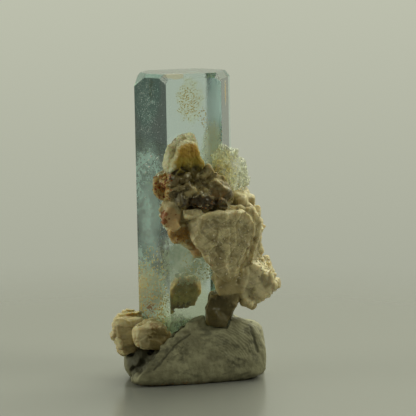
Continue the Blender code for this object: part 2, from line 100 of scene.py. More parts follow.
@dataclass(frozen=True)
class Zone:
    """A soft ellipsoid in the specimen's own space, used to place stains, grains and flakes."""

    centre: Triple
    radii: Triple

    def share(self, point: Vector) -> float:
        """Tells how far inside a point lies.

        Args:
            point: A place in millimetres.

        Returns:
            One at the centre, nought at the rim and beyond.
        """
        reach = Vector(
            (point[axis] - self.centre[axis]) / self.radii[axis] for axis in range(3)
        )
        return max(0.0, 1.0 - reach.length)


class Graph:
    """A material's node tree, with the short words that the finishes are written in."""

    def __init__(self, name: str, world: bpy.types.World | None = None) -> None:
        """Starts a material with a plain shader, or works on a world.

        Args:
            name: The material's name.
            world: The world, if its nodes are meant.
        """
        if world is None:
            self.material = bpy.data.materials.new(name)
            self.material.use_nodes = True
            self.tree = self.material.node_tree
            self.shader = self.tree.nodes["Principled BSDF"]
            self.output = self.tree.nodes["Material Output"]
            self.place = self.add("ShaderNodeTexCoord").outputs["Object"]
        else:
            self.tree = world.node_tree
            self.place = self.add("ShaderNodeTexCoord").outputs["Generated"]
        self.made: dict[tuple, bpy.types.NodeSocket] = {}

    def add(self, kind: str, **settings: object) -> bpy.types.Node:
        """Adds a node.

        Args:
            kind: The node's type name.
            settings: Properties to set on it.

        Returns:
            The new node.
        """
        node = self.tree.nodes.new(kind)
        for name, value in settings.items():
            setattr(node, name, value)
        return node

    def feed(self, socket: bpy.types.NodeSocket, value: object) -> None:
        """Links a socket to another one, or sets its plain value.

        Args:
            socket: The input.
            value: An output socket, a number or a colour.
        """
        if isinstance(value, bpy.types.NodeSocket):
            self.tree.links.new(value, socket)
        elif isinstance(value, tuple) and len(socket.default_value) == 4:
            socket.default_value = (*value, 1.0)
        else:
            socket.default_value = value

    def set(self, **values: object) -> None:
        """Feeds the shader's inputs.

        Args:
            values: Input names with underscores for spaces, and what goes in.
        """
        for name, value in values.items():
            self.feed(self.shader.inputs[name.replace("_", " ")], value)

    def maths(self, operation: str, first: object, second: object = 0.0,
              clamp: bool = True) -> bpy.types.NodeSocket:
        """Adds a sum.

        Args:
            operation: The Math node's operation.
            first: The first number or socket.
            second: The second number or socket.
            clamp: True to keep the result between nought and one.

        Returns:
            The result.
        """
        node = self.add("ShaderNodeMath", operation=operation, use_clamp=clamp)
        self.feed(node.inputs[0], first)
        self.feed(node.inputs[1], second)
        return node.outputs[0]

    def span(self, value: bpy.types.NodeSocket, low: float, high: float,
             start: float = 0.0, end: float = 1.0, kind: str = "SMOOTHSTEP") -> bpy.types.NodeSocket:
        """Spreads a value over a range.

        Args:
            value: The input.
            low: Where the range starts.
            high: Where it ends.
            start: The result at low.
            end: The result at high.
            kind: How it gets from one to the other.

        Returns:
            The result.
        """
        node = self.add("ShaderNodeMapRange", interpolation_type=kind)
        self.feed(node.inputs["Value"], value)
        for name, number in (("From Min", low), ("From Max", high), ("To Min", start), ("To Max", end)):
            node.inputs[name].default_value = number
        return node.outputs["Result"]

    def pick(self, share: object, first: object, second: object) -> bpy.types.NodeSocket:
        """Mixes two numbers.

        Args:
            share: How much of the second one.
            first: A number or socket.
            second: A number or socket.

        Returns:
            The mixed number.
        """
        node = self.add("ShaderNodeMix")
        self.feed(node.inputs[0], share)
        self.feed(node.inputs[2], first)
        self.feed(node.inputs[3], second)
        return node.outputs[0]

    def mix(self, share: object, first: object, second: object, how: str = "MIX") -> bpy.types.NodeSocket:
        """Mixes two colours.

        Args:
            share: How much of the second one.
            first: A colour or socket.
            second: A colour or socket.
            how: The blend type.

        Returns:
            The mixed colour.
        """
        node = self.add("ShaderNodeMix", data_type="RGBA", blend_type=how)
        self.feed(node.inputs[0], share)
        self.feed(node.inputs[6], first)
        self.feed(node.inputs[7], second)
        return node.outputs[2]

    def mapped(self, scale: Triple, shift: Triple = (0.0, 0.0, 0.0)) -> bpy.types.NodeSocket:
        """Scales and then shifts object space.

        Args:
            scale: What a metre becomes, on each axis.
            shift: What is added after that.

        Returns:
            The new coordinates.
        """
        node = self.add("ShaderNodeMapping")
        self.feed(node.inputs["Vector"], self.place)
        node.inputs["Scale"].default_value = scale
        node.inputs["Location"].default_value = shift
        return node.outputs["Vector"]

    def cloud(self, size: float, detail: float = 3.0, stretch: Triple = (1.0, 1.0, 1.0),
              seed: float = 0.0) -> bpy.types.NodeSocket:
        """Adds a cloudy noise.

        Args:
            size: The width of its blobs in millimetres.
            detail: How many finer layers it has.
            stretch: How much longer it is along each axis.
            seed: Moves it to another part of the noise.

        Returns:
            A value round one half.
        """
        key = (size, detail, stretch, seed)
        if key in self.made:
            return self.made[key]
        node = self.add("ShaderNodeTexNoise", noise_dimensions="4D" if seed else "3D")
        uneven = stretch != (1.0, 1.0, 1.0)
        place = self.mapped(tuple(1.0 / part for part in stretch)) if uneven else self.place
        self.feed(node.inputs["Vector"], place)
        if seed:
            node.inputs["W"].default_value = seed
        node.inputs["Scale"].default_value = 1.0 / (size * MM)
        node.inputs["Detail"].default_value = detail
        self.made[key] = node.outputs[0]
        return node.outputs[0]

    def grains(self, size: float) -> bpy.types.NodeSocket:
        """Adds cell noise.

        Args:
            size: The width of a cell in millimetres.

        Returns:
            How far each point is from its cell's middle.
        """
        key = ("grains", size)
        if key not in self.made:
            node = self.add("ShaderNodeTexVoronoi")
            self.feed(node.inputs["Vector"], self.place)
            node.inputs["Scale"].default_value = 1.0 / (size * MM)
            self.made[key] = node.outputs["Distance"]
        return self.made[key]

    def inside(self, zone: Zone) -> bpy.types.NodeSocket:
        """Tells how far a point of the surface is inside a zone.

        Args:
            zone: The zone.

        Returns:
            One at its centre, nought at its rim.
        """
        scale = tuple(1.0 / (radius * MM) for radius in zone.radii)
        shift = tuple(-middle / radius for middle, radius in zip(zone.centre, zone.radii))
        length = self.add("ShaderNodeVectorMath", operation="LENGTH")
        self.feed(length.inputs[0], self.mapped(scale, shift))
        return self.span(length.outputs["Value"], 1.0, 0.0)

    def towards(self, direction: Triple) -> bpy.types.NodeSocket:
        """Tells how closely a ray points in a direction.

        Args:
            direction: The direction, of any length.

        Returns:
            One straight along it, nought across it.
        """
        facing = self.add("ShaderNodeVectorMath", operation="DOT_PRODUCT")
        self.feed(facing.inputs[0], self.place)
        facing.inputs[1].default_value = Vector(direction).normalized()
        return facing.outputs["Value"]

    def left_by(self, mask: Mask) -> bpy.types.NodeSocket:
        """Reads a point attribute as a value."""
        return self.add("ShaderNodeAttribute", attribute_name=mask.value).outputs["Fac"]

    def bump(self, height: object, depth: float, under: object = None) -> bpy.types.NodeSocket:
        """Turns a height into a bumped normal.

        Args:
            height: The height, from nought to one.
            depth: What one stands for, in millimetres.
            under: Another bump to add this one to.

        Returns:
            The normal.
        """
        node = self.add("ShaderNodeBump")
        node.inputs["Distance"].default_value = depth * MM
        self.feed(node.inputs["Height"], height)
        if under is not None:
            self.feed(node.inputs["Normal"], under)
        return node.outputs["Normal"]


@dataclass(frozen=True)
class Stain:
    """A coloured patch: where it is, its colour, how strong it is, how broken up, how wide its dots."""

    zone: Zone
    colour: Triple
    strength: float = 1.0
    speck: float = 0.5
    cover: float = 0.5
    start: float = 0.58
    soft: float = 0.18
    dots: float = 0.0

    def amount(self, graph: Graph) -> bpy.types.NodeSocket:
        """Makes the patch's mask.

        Args:
            graph: The material that the mask is in.

        Returns:
            How strongly the patch colours each point.
        """
        inside = graph.inside(self.zone)
        broken = graph.cloud(self.speck, 2.5)
        lifted = graph.maths("ADD", broken, graph.maths("MULTIPLY", inside, self.cover))
        shown = graph.span(lifted, self.start, self.start + self.soft)
        faded = graph.maths("MULTIPLY", shown, graph.span(inside, 0.0, 0.3))
        if self.dots > 0.0:
            dot = graph.span(graph.grains(self.dots), 0.42, 0.24)
            faded = graph.maths("MULTIPLY", faded, dot)
        return graph.maths("MULTIPLY", faded, self.strength)


def stained(graph: Graph, base: object, stains: tuple[Stain, ...]) -> tuple[object, object]:
    """Lays stains over a colour.

    Args:
        graph: The material.
        base: The colour under them.
        stains: The stains, the lowest first.

    Returns:
        The stained colour, and how much of any stain there is.
    """
    total = 0.0
    for stain in stains:
        amount = stain.amount(graph)
        base = graph.mix(amount, base, stain.colour)
        total = graph.maths("MAXIMUM", amount, total)
    return base, total


@dataclass(frozen=True)
class ClearBeryl:
    """Clear beryl: striated faces, milky and hazy places, tinted washes and iron stains."""

    name: str
    stains: tuple[Stain, ...]
    washes: tuple[Stain, ...]
    milky: tuple[Zone, ...]
    hazes: tuple[Zone, ...]
    haze: float = 0.45
    milk: Triple = (0.80, 0.98, 0.95)
    milk_body: float = 0.6
    tint: Triple = (0.97, 1.0, 0.99)
    absorbed: Triple = (0.30, 0.66, 0.70)
    density: float = 28.0
    ior: float = 1.58
    polish: float = 0.03
    frosted: float = 0.45
    stain_body: float = 0.75
    striation: float = 0.35
    striation_depth: float = 0.012

    def material(self) -> bpy.types.Material:
        """Builds the finish.

        Returns:
            The material.
        """
        graph = Graph(self.name)
        milk = 0.0
        for zone in self.milky:
            milk = graph.maths("MAXIMUM", graph.span(graph.inside(zone), 0.0, 0.45), milk)
        broad = graph.span(graph.cloud(2.6, 4.0), 0.34, 0.60, 0.45, 1.0)
        fine = graph.span(graph.cloud(0.5, 4.0), 0.36, 0.62, 0.5, 1.0)
        milk = graph.maths("MULTIPLY", graph.maths("MULTIPLY", milk, broad), fine)
        haze = 0.0
        for zone in self.hazes:
            haze = graph.maths("MAXIMUM", graph.inside(zone), haze)
        colour = graph.mix(milk, self.tint, self.milk)
        for wash in self.washes:
            colour = graph.mix(wash.amount(graph), colour, wash.colour, "MULTIPLY")
        colour, amount = stained(graph, colour, self.stains)
        solid = graph.maths("MAXIMUM", graph.maths("MULTIPLY", amount, self.stain_body),
                            graph.maths("MULTIPLY", milk, self.milk_body))
        rough = graph.span(graph.cloud(0.8, 4.0, seed=2.0), 0.45, 0.8, self.polish, self.polish + 0.1)
        rough = graph.maths("MAXIMUM", rough, graph.maths("MULTIPLY", milk, self.frosted))
        rough = graph.maths("MAXIMUM", rough, graph.maths("MULTIPLY", haze, self.haze))
        rough = graph.maths("MAXIMUM", rough, graph.maths("MULTIPLY", amount, 0.5))
        lines = graph.cloud(self.striation, 2.0, (1.0, 1.0, 60.0), 5.0)
        normal = graph.bump(lines, self.striation_depth)
        normal = graph.bump(amount, 0.03, normal)
        graph.set(
            Base_Color=colour,
            Transmission_Weight=graph.maths("SUBTRACT", 1.0, solid),
            Roughness=rough,
            IOR=self.ior,
            Normal=normal,
        )
        volume = graph.add("ShaderNodeVolumeAbsorption")
        volume.inputs["Color"].default_value = (*self.absorbed, 1.0)
        volume.inputs["Density"].default_value = self.density
        graph.feed(graph.output.inputs["Volume"], volume.outputs[0])
        return graph.material


@dataclass(frozen=True)
class Mineral:
    """A massive, part translucent mineral: its colours, its stains, painted shade in its crevices and a
    painted highlight on its ridges, and how far light goes in.
    """

    name: str
    pale: Triple
    body: Triple
    deep: Triple
    stains: tuple[Stain, ...] = ()
    patch: float = 1.6
    roughness: float = 0.45
    shine: float = 0.5
    scatter: float = 0.3
    scatter_depth: float = 0.5
    scatter_colours: Triple = (1.0, 0.75, 0.45)
    clear: float = 0.0
    ior: float = 1.53
    grain: float = 0.18
    grain_depth: float = 0.03
    tone_spread: float = 0.35
    # How strongly crevices are painted with shade and ridges with a highlight.
    crevice: float = 0.6
    ridge: float = 0.7

    def material(self) -> bpy.types.Material:
        """Builds the finish.

        Returns:
            The material.
        """
        graph = Graph(self.name)
        patches = graph.span(graph.cloud(self.patch, 5.0, seed=1.0), 0.35, 0.65)
        colour = graph.mix(patches, self.body, self.pale)
        tone = graph.span(graph.left_by(Mask.TONE), 0.0, 1.0, 0.0, self.tone_spread)
        colour = graph.mix(tone, colour, self.deep)
        fine = graph.span(graph.cloud(self.grain * 2.0, 4.0, seed=9.0), 0.55, 0.75, 0.0, 0.35)
        colour = graph.mix(fine, colour, self.deep)
        # Crevices darken toward the deep colour as painted shade, which also stands for the brown staining
        # in hollows; ridges lighten toward the pale colour as a painted highlight.
        edge = graph.left_by(Mask.CREVICE)
        colour = graph.mix(graph.span(edge, 0.1, 1.0, 0.0, self.crevice), colour, self.deep)
        colour = graph.mix(graph.span(edge, -0.1, -1.0, 0.0, self.ridge), colour, self.pale)
        colour, _ = stained(graph, colour, self.stains)
        gloss = graph.span(graph.grains(self.grain * 3.0), 0.2, 0.8, -0.12, 0.18)
        rough = graph.maths("ADD", gloss, self.roughness, clamp=False)
        normal = graph.bump(graph.cloud(self.grain, 5.0, seed=3.0), self.grain_depth)
        normal = graph.bump(graph.grains(self.grain * 3.0), self.grain_depth, normal)
        graph.set(
            Base_Color=colour,
            Roughness=rough,
            IOR=self.ior,
            Specular_IOR_Level=self.shine,
            Subsurface_Weight=self.scatter,
            Subsurface_Radius=self.scatter_colours,
            Subsurface_Scale=self.scatter_depth * MM,
            Transmission_Weight=self.clear,
            Normal=normal,
        )
        return graph.material


@dataclass(frozen=True)
class PuttyFinish:
    """Grey-brown putty, dull, thumbed and slightly dirty, with painted shade in its creases and in the
    recess under the foot.
    """

    body: Triple = (0.26, 0.24, 0.145)
    light: Triple = (0.40, 0.375, 0.235)
    dirt_and_shade: Triple = (0.075, 0.07, 0.042)
    dark_patches: tuple[Zone, ...] = ()
    painted_shades: tuple[Zone, ...] = ()
    roughness: float = 0.62

    def material(self) -> bpy.types.Material:
        """Builds the finish.

        Returns:
            The material.
        """
        graph = Graph("putty")
        patches = graph.span(graph.cloud(2.5, 5.0, seed=1.0), 0.35, 0.65)
        colour = graph.mix(patches, self.body, self.light)
        worn = graph.span(graph.cloud(0.5, 5.0, seed=6.0), 0.55, 0.72, 0.0, 0.5)
        colour = graph.mix(worn, colour, self.light)
        # Creases and hollows darken: painted shade.
        colour = graph.mix(graph.span(graph.left_by(Mask.CREVICE), 0.0, 1.0, 0.0, 0.8), colour, self.dirt_and_shade)
        # Painted shade in the given zones.
        for zone in self.painted_shades:
            colour = graph.mix(graph.span(graph.inside(zone), 0.0, 0.5, 0.0, 0.9), colour, self.dirt_and_shade)
        # Darker patches, broken up by noise.
        for number, zone in enumerate(self.dark_patches):
            broken = graph.span(graph.cloud(0.6, 5.0, seed=11.0 + number), 0.4, 0.62)
            amount = graph.maths("MULTIPLY", graph.inside(zone), broken)
            colour = graph.mix(graph.maths("MULTIPLY", amount, 0.9), colour, self.dirt_and_shade)
        specks = graph.span(graph.cloud(0.3, 3.0, seed=21.0), 0.68, 0.74, 0.0, 0.8)
        colour = graph.mix(specks, colour, self.dirt_and_shade)
        grime = graph.span(graph.cloud(1.1, 6.0, (1.6, 1.0, 0.8), 31.0), 0.52, 0.68, 0.0, 0.55)
        colour = graph.mix(grime, colour, self.dirt_and_shade)
        dull = graph.cloud(1.2, 3.0, seed=8.0)
        rough = graph.span(dull, 0.3, 0.7, self.roughness - 0.1, self.roughness + 0.12)
        normal = graph.bump(graph.cloud(0.25, 6.0, seed=5.0), 0.05)
        graph.set(Base_Color=colour, Roughness=rough, Specular_IOR_Level=0.35, Normal=normal)
        return graph.material


@dataclass(frozen=True)
class GrainFinish:
    """Loose grains: two colours that change from grain to grain."""

    name: str
    first: Triple
    second: Triple
    roughness: float = 0.5
    clear: float = 0.0

    def material(self) -> bpy.types.Material:
        """Builds the finish.

        Returns:
            The material.
        """
        graph = Graph(self.name)
        share = graph.span(graph.cloud(0.4, 2.0, seed=2.0), 0.38, 0.62)
        colour = graph.mix(share, self.first, self.second)
        normal = graph.bump(graph.cloud(0.1, 3.0), 0.01)
        graph.set(
            Base_Color=colour,
            Roughness=self.roughness,
            Transmission_Weight=self.clear,
            Normal=normal,
        )
        return graph.material


@dataclass(frozen=True)
class FloorFinish:
    """A pale, slightly glossy floor that fades into the backdrop."""

    colour: Triple = (0.265, 0.265, 0.25)
    roughness: float = 0.22
    fade_from: float = 50.0
    fade_to: float = 110.0

    def material(self) -> bpy.types.Material:
        """Builds the finish.

        Returns:
            The material.
        """
        graph = Graph("pale_floor")
        soft = graph.span(graph.cloud(400.0, 2.0), 0.3, 0.7, 0.0, 0.04)
        colour = graph.mix(soft, self.colour, (0.8, 0.8, 0.8))
        graph.set(Base_Color=colour, Roughness=self.roughness, Specular_IOR_Level=0.3)
        reach = graph.add("ShaderNodeVectorMath", operation="LENGTH")
        graph.feed(reach.inputs[0], graph.mapped((1.0 / MM,) * 3))
        far = graph.span(reach.outputs["Value"], self.fade_from, self.fade_to)
        clear = graph.add("ShaderNodeBsdfTransparent")
        faded = graph.add("ShaderNodeMixShader")
        graph.feed(faded.inputs[0], far)
        graph.feed(faded.inputs[1], graph.shader.outputs[0])
        graph.feed(faded.inputs[2], clear.outputs[0])
        graph.feed(graph.output.inputs["Surface"], faded.outputs[0])
        return graph.material


@dataclass(frozen=True)
class Lamp:
    """A far soft light: its strength, how wide it looks in degrees, and where it shines."""

    name: str
    strength: float
    width: float
    towards: Triple

    def hang(self, tint: Triple) -> None:
        """Hangs the light.

        Args:
            tint: Its colour.
        """
        lamp = bpy.data.lights.new(self.name, "SUN")
        lamp.energy = self.strength
        lamp.angle = math.radians(self.width)
        lamp.color = tint
        light = bpy.data.objects.new(self.name, lamp)
        light.rotation_euler = Vector(self.towards).to_track_quat("-Z", "Y").to_euler()
        bpy.context.scene.collection.objects.link(light)


@dataclass
class Studio:
    """The floor, the light and the camera of the photograph."""

    aim: Triple = (1.9, 0.0, 25.33)
    elevation: float = 8.0
    distance: float = 312.0
    lens: float = 180.0
    sensor: float = 36.0
    floor_reach: float = 130.0
    floor_sides: int = 96
    clip: tuple[float, float] = (0.01, 20.0)
    tint: Triple = (0.965, 1.0, 0.80)
    lamps: tuple[Lamp, ...] = (
        Lamp("soft_key", 2.0, 55.0, (-0.30, -0.62, -0.72)),
        Lamp("soft_side", 0.7, 25.0, (-0.72, 0.18, -0.62)),
        Lamp("soft_fill", 1.0, 40.0, (0.95, 0.12, -0.30)),
    )
    bright_side: Triple = (0.25, 0.93, 0.28)
    bright_reach: tuple[float, float] = (-0.35, 0.75)
    bright: float = 0.55
    dark: float = 0.10
    screen: float = 0.47
    cards: tuple[tuple[Triple, float, float], ...] = (
        ((0.73, 0.68, -0.10), 26.0, 0.065),
        ((-0.81, 0.59, -0.10), 22.0, 0.13),
        ((-0.80, -0.60, -0.10), 24.0, 0.46),
    )
    backdrop_low: float = 0.335
    backdrop_high: float = 0.525
    backdrop_reach: tuple[float, float] = (-0.25, -0.035)

    def build(self) -> None:
        """Makes the whole setting."""
        self.floor()
        self.world()
        for lamp in self.lamps:
            lamp.hang(self.tint)
        self.camera()

    def floor(self) -> None:
        """Lays a wide round floor just under the putty."""
        mesh = bmesh.new()
        bmesh.ops.create_circle(
            mesh, cap_ends=True, segments=self.floor_sides, radius=self.floor_reach * MM
        )
        data = bpy.data.meshes.new("floor")
        mesh.to_mesh(data)
        mesh.free()
        floor = bpy.data.objects.new("floor", data)
        bpy.context.scene.collection.objects.link(floor)
        data.materials.append(FloorFinish().material())
        floor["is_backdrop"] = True

    def world(self) -> None:
        """Lights the room from behind and above, and puts dark cards round what is seen through."""
        world = bpy.data.worlds.new("room")
        world.use_nodes = True
        bpy.context.scene.world = world
        room = Graph("room", world)
        background = world.node_tree.nodes["Background"]
        background.inputs["Color"].default_value = (*self.tint, 1.0)
        light = room.span(room.towards(self.bright_side), *self.bright_reach, self.dark, self.bright)
        path = room.add("ShaderNodeLightPath").outputs
        light = room.pick(path["Is Transmission Ray"], light, self.screens(room))
        light = room.pick(path["Is Camera Ray"], light, self.backdrop(room))
        room.feed(background.inputs["Strength"], light)

    def screens(self, room: Graph) -> bpy.types.NodeSocket:
        """Makes an even bright room with dark cards in it.

        Args:
            room: The world's nodes.

        Returns:
            The light that clear stone shows.
        """
        light = self.screen
        for towards, width, level in self.cards:
            outer = math.cos(math.radians(width))
            inner = math.cos(math.radians(width / 2.0))
            light = room.pick(room.span(room.towards(towards), outer, inner), light, level)
        return light

    def backdrop(self, room: Graph) -> bpy.types.NodeSocket:
        """Makes the backdrop, which darkens downwards.

        Args:
            room: The world's nodes.

        Returns:
            The light that the camera sees behind the specimen.
        """
        sides = room.add("ShaderNodeSeparateXYZ")
        room.feed(sides.inputs[0], room.place)
        return room.span(
            sides.outputs["Z"], *self.backdrop_reach, self.backdrop_low, self.backdrop_high, "LINEAR"
        )

    def camera(self) -> None:
        """Stands the camera where the photograph was taken from."""
        camera = bpy.data.cameras.new("camera")
        camera.lens = self.lens
        camera.sensor_width = self.sensor
        camera.clip_start, camera.clip_end = self.clip
        tilt = math.radians(self.elevation)
        back = Vector((0.0, -math.cos(tilt), math.sin(tilt)))
        stand = bpy.data.objects.new("camera", camera)
        stand.location = (Vector(self.aim) + back * self.distance) * MM
        stand.rotation_euler = (math.radians(90.0) - tilt, 0.0, 0.0)
        bpy.context.scene.collection.objects.link(stand)
        bpy.context.scene.camera = stand


def node_shape(node: str) -> bmesh.types.BMesh:
    """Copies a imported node's mesh, merged and in millimetres.

    Args:
        node: The node's name.

    Returns:
        A new bmesh, which the caller frees.
    """
    shape = bmesh.new()
    shape.from_mesh(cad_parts[node].data)
    bmesh.ops.scale(shape, vec=(1.0 / MM,) * 3, verts=shape.verts)
    bmesh.ops.remove_doubles(shape, verts=shape.verts, dist=MERGE_GAP)
    return shape


def room_of(node: str, swell: float) -> tuple[Vector, Vector]:
    """Gives the space that a dressed node may fill.

    Args:
        node: The node's name.
        swell: How far it may stand out of the node's own box, in millimetres.

    Returns:
        The lowest and highest corners, never outside the whole object's box.
    """
    low, high = (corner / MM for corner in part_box(node))
    lowest, highest = WHOLE_BOX
    low = Vector(max(low[axis] - swell, lowest[axis]) for axis in range(3))
    high = Vector(min(high[axis] + swell, highest[axis]) for axis in range(3))
    return low, high


def finished(name: str, shape: bmesh.types.BMesh, material: bpy.types.Material,
             smooth: bool) -> bpy.types.Object:
    """Turns a bmesh in millimetres into a piece that rides on the specimen.

    Args:
        name: The piece's name.
        shape: Its mesh, which is freed.
        material: Its finish.
        smooth: True for a rounded look, False for flat facets.

    Returns:
        The piece.
    """
    bmesh.ops.scale(shape, vec=(MM,) * 3, verts=shape.verts)
    for face in shape.faces:
        face.smooth = smooth
    mesh = bpy.data.meshes.new(name)
    shape.to_mesh(mesh)
    shape.free()
    mesh.materials.append(material)
    piece = bpy.data.objects.new(name, mesh)
    bpy.context.scene.collection.objects.link(piece)
    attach(piece, BODY)
    return piece


def modified(shape: bmesh.types.BMesh, kind: str, **settings: object) -> bmesh.types.BMesh:
    """Puts a shape through one modifier.

    Args:
        shape: A mesh in millimetres, which is freed.
        kind: The modifier's type.
        settings: Its settings.

    Returns:
        The new mesh.
    """
    mesh = bpy.data.meshes.new("worked")
    shape.to_mesh(mesh)
    shape.free()
    holder = bpy.data.objects.new("worked", mesh)
    bpy.context.scene.collection.objects.link(holder)
    modifier = holder.modifiers.new("work", kind)
    for name, value in settings.items():
        setattr(modifier, name, value)
    evaluated = holder.evaluated_get(bpy.context.evaluated_depsgraph_get())
    result = bmesh.new()
    result.from_mesh(evaluated.to_mesh())
    evaluated.to_mesh_clear()
    bpy.data.objects.remove(holder)
    bpy.data.meshes.remove(mesh)
    return result


def remeshed(shape: bmesh.types.BMesh, voxel: float) -> bmesh.types.BMesh:
    """Covers a closed shape with an even skin of small faces, as wide as voxel."""
    return modified(shape, "REMESH", mode="VOXEL", voxel_size=voxel)


def broken(shape: bmesh.types.BMesh, share: float) -> bmesh.types.BMesh:
    """Gathers small faces into broken facets, and keeps that share of them."""
    return modified(shape, "DECIMATE", ratio=share)


def relax(shape: bmesh.types.BMesh, rounds: int) -> None:
    """Rounds a skin a little.

    Args:
        shape: The skin.
        rounds: How often each point moves half way to its neighbours.
    """
    for _ in range(rounds):
        bmesh.ops.smooth_vert(
            shape, verts=shape.verts, factor=0.5, use_axis_x=True, use_axis_y=True, use_axis_z=True
        )


def seeded(seed: float) -> Vector:
    """Makes an even shift, so that each seed reads another part of the noise."""
    return Vector((seed,) * 3)


def share_in(zone: Zone | None, point: Vector, steepness: float = 2.0) -> float:
    """Tells how strongly a relief works at a point.

    Args:
        zone: Where it works, or None for everywhere.
        point: The point.
        steepness: How fast it grows in from the zone's rim.

    Returns:
        Nought outside the zone, one well inside it.
    """
    return 1.0 if zone is None else min(1.0, steepness * zone.share(point))


@dataclass(frozen=True)
class Facets:
    """Flat broken facets, one to a cell, as on a fractured mineral."""

    size: float
    tilt: float
    step: float
    seed: float
    stretch: Triple = (1.0, 1.0, 1.0)
    blend: float = 0.08
    crevice_width: float = 0.3

    def facet(self, spot: Vector, middle: Vector) -> float:
        """Gives the height of one cell's facet.

        Args:
            spot: A place in the relief's own space.
            middle: The cell's middle there.

        Returns:
            The height in millimetres.
        """
        lean = noise.cell_vector(middle * 9.7) * 2.0 - Vector((1.0, 1.0, 1.0))
        return (spot - middle).dot(lean) * self.size * self.tilt + noise.cell(middle * 5.3) * self.step

    def relief(self, point: Vector) -> tuple[float, float, float]:
        """Works out the surface at a point.

        Args:
            point: The place before the relief.

        Returns:
            The height in millimetres, from a ridge at minus one to a crevice at one, and the tone.
        """
        spot = Vector(point[axis] / self.size / self.stretch[axis] for axis in range(3))
        spot += Vector((self.seed, 1.7 * self.seed, 2.3 * self.seed))
        gaps, middles = noise.voronoi(spot)
        shares = [math.exp((gaps[0] - gap) / self.blend) for gap in gaps]
        facets = [self.facet(spot, middle) for middle in middles]
        tones = [0.5 + 0.5 * noise.cell(middle * 3.1) for middle in middles]
        height = sum(share * facet for share, facet in zip(shares, facets)) / sum(shares)
        tone = sum(share * tone for share, tone in zip(shares, tones)) / sum(shares)
        near = max(0.0, 1.0 - (gaps[1] - gaps[0]) / self.crevice_width)
        fall = (facets[1] - facets[0]) / (self.step + 0.05)
        return height, near * max(-1.0, min(1.0, fall)), tone


@dataclass(frozen=True)
class Ledges:
    """Cleavage steps: thin layers that break off one after another along a direction."""

    along: Triple
    pitch: float
    depth: float
    seed: float
    zone: Zone | None = None
    wander: float = 0.9
    step_width: float = 0.25
    crevice_width: float = 0.2

    def relief(self, point: Vector) -> tuple[float, float, float]:
        """Works out the surface at a point.

        Args:
            point: The place before the relief.

        Returns:
            The height in millimetres, how much of a crevice it is, and the layer's tone.
        """
        share = share_in(self.zone, point)
        if share == 0.0:
            return FLAT
        sway = noise.noise(point * 0.35 + seeded(self.seed)) * self.wander
        layer = point.dot(Vector(self.along).normalized()) / self.pitch + sway
        part = layer - math.floor(layer)
        tone = 0.5 + 0.5 * noise.cell(Vector((math.floor(layer) * 1.37, self.seed, 0.0)))
        crevice = max(0.0, 1.0 - part / self.crevice_width)
        step = 1.0 - min(1.0, part / self.step_width)
        height = -self.depth * step + self.depth * 0.5 * (tone - 0.5)
        return height * share, crevice * share, tone


@dataclass(frozen=True)
class Swells:
    """A soft rolling surface, as on a worn or pressed material."""

    size: float
    depth: float
    seed: float

    def relief(self, point: Vector) -> tuple[float, float, float]:
        """Works out the surface at a point.

        Args:
            point: The place before the relief.

        Returns:
            The height in millimetres, how much of a crevice it is, and an even tone.
        """
        wave = noise.fractal(point / self.size + seeded(self.seed), 1.0, 2.0, 4)
        return wave * self.depth, max(0.0, -wave) * 0.4, EVEN_TONE


@dataclass(frozen=True)
class Ridges:
    """Round parallel finger ridges, seen from the front, inside one zone."""

    centre: Triple
    pitch: float
    depth: float
    zone: Zone

    def relief(self, point: Vector) -> tuple[float, float, float]:
        """Works out the surface at a point.

        Args:
            point: The place before the relief.

        Returns:
            The height in millimetres, how much of a crevice it is, and an even tone.
        """
        share = share_in(self.zone, point, 2.5)
        if share == 0.0:
            return FLAT
        offset = point - Vector(self.centre)
        reach = math.hypot(offset.x, offset.z) + 0.35 * noise.noise(point * 0.8)
        wave = math.cos(2.0 * math.pi * reach / self.pitch)
        worn = 0.55 + 0.45 * noise.noise(point * 0.9 + Vector((7.0, 0.0, 0.0)))
        return wave * self.depth * share * worn, max(0.0, -wave) * 0.45 * share * worn, EVEN_TONE


@dataclass(frozen=True)
class Strokes:
    """Smears and wrinkles drawn out along one direction, as thumbs leave them."""

    along: Triple
    width: float
    length: float
    depth: float
    seed: float
    zone: Zone | None = None

    def relief(self, point: Vector) -> tuple[float, float, float]:
        """Works out the surface at a point.

        Args:
            point: The place before the relief.

        Returns:
            The height in millimetres, how much of a crevice it is, and an even tone.
        """
        share = share_in(self.zone, point)
        if share == 0.0:
            return FLAT
        direction = Vector(self.along).normalized()
        reach = point.dot(direction)
        across = (point - direction * reach) / self.width
        spot = across + direction * (reach / self.length)
        wave = noise.fractal(spot + seeded(self.seed), 1.0, 2.0, 3)
        crease = -abs(wave) + 0.25
        return crease * self.depth * share, max(0.0, 0.8 - 6.0 * abs(wave)) * share, EVEN_TONE


@dataclass(frozen=True)
class Crease:
    """A groove pressed into the front along a path of x and z points; a negative depth raises a welt."""

    path: tuple[tuple[float, float], ...]
    width: float
    depth: float
    behind: float = 0.0

    def gap(self, spot: Vector, start: Vector, end: Vector) -> float:
        """Measures how far a place is from one stretch of the path.

        Args:
            spot: The place, as x and z.
            start: Where the stretch starts.
            end: Where it ends.

        Returns:
            The distance in millimetres.
        """
        along = end - start
        share = max(0.0, min(1.0, (spot - start).dot(along) / along.length_squared))
        return (spot - start - along * share).length

    def relief(self, point: Vector) -> tuple[float, float, float]:
        """Works out the surface at a point.

        Args:
            point: The place before the relief.

        Returns:
            The height in millimetres, how much of a crevice it is, and an even tone.
        """
        if point.y > self.behind:
            return FLAT
        sway = noise.noise(point * 1.1) * self.width * 0.6
        spot = Vector((point.x + sway, point.z - sway))
        stretches = zip(self.path, self.path[1:])
        nearest = min(self.gap(spot, Vector(start), Vector(end)) for start, end in stretches)
        share = max(0.0, 1.0 - nearest / self.width)
        share = share * share * (3.0 - 2.0 * share)
        return -self.depth * share, share if self.depth > 0.0 else 0.0, EVEN_TONE


Relief = Facets | Ledges | Swells | Ridges | Strokes | Crease


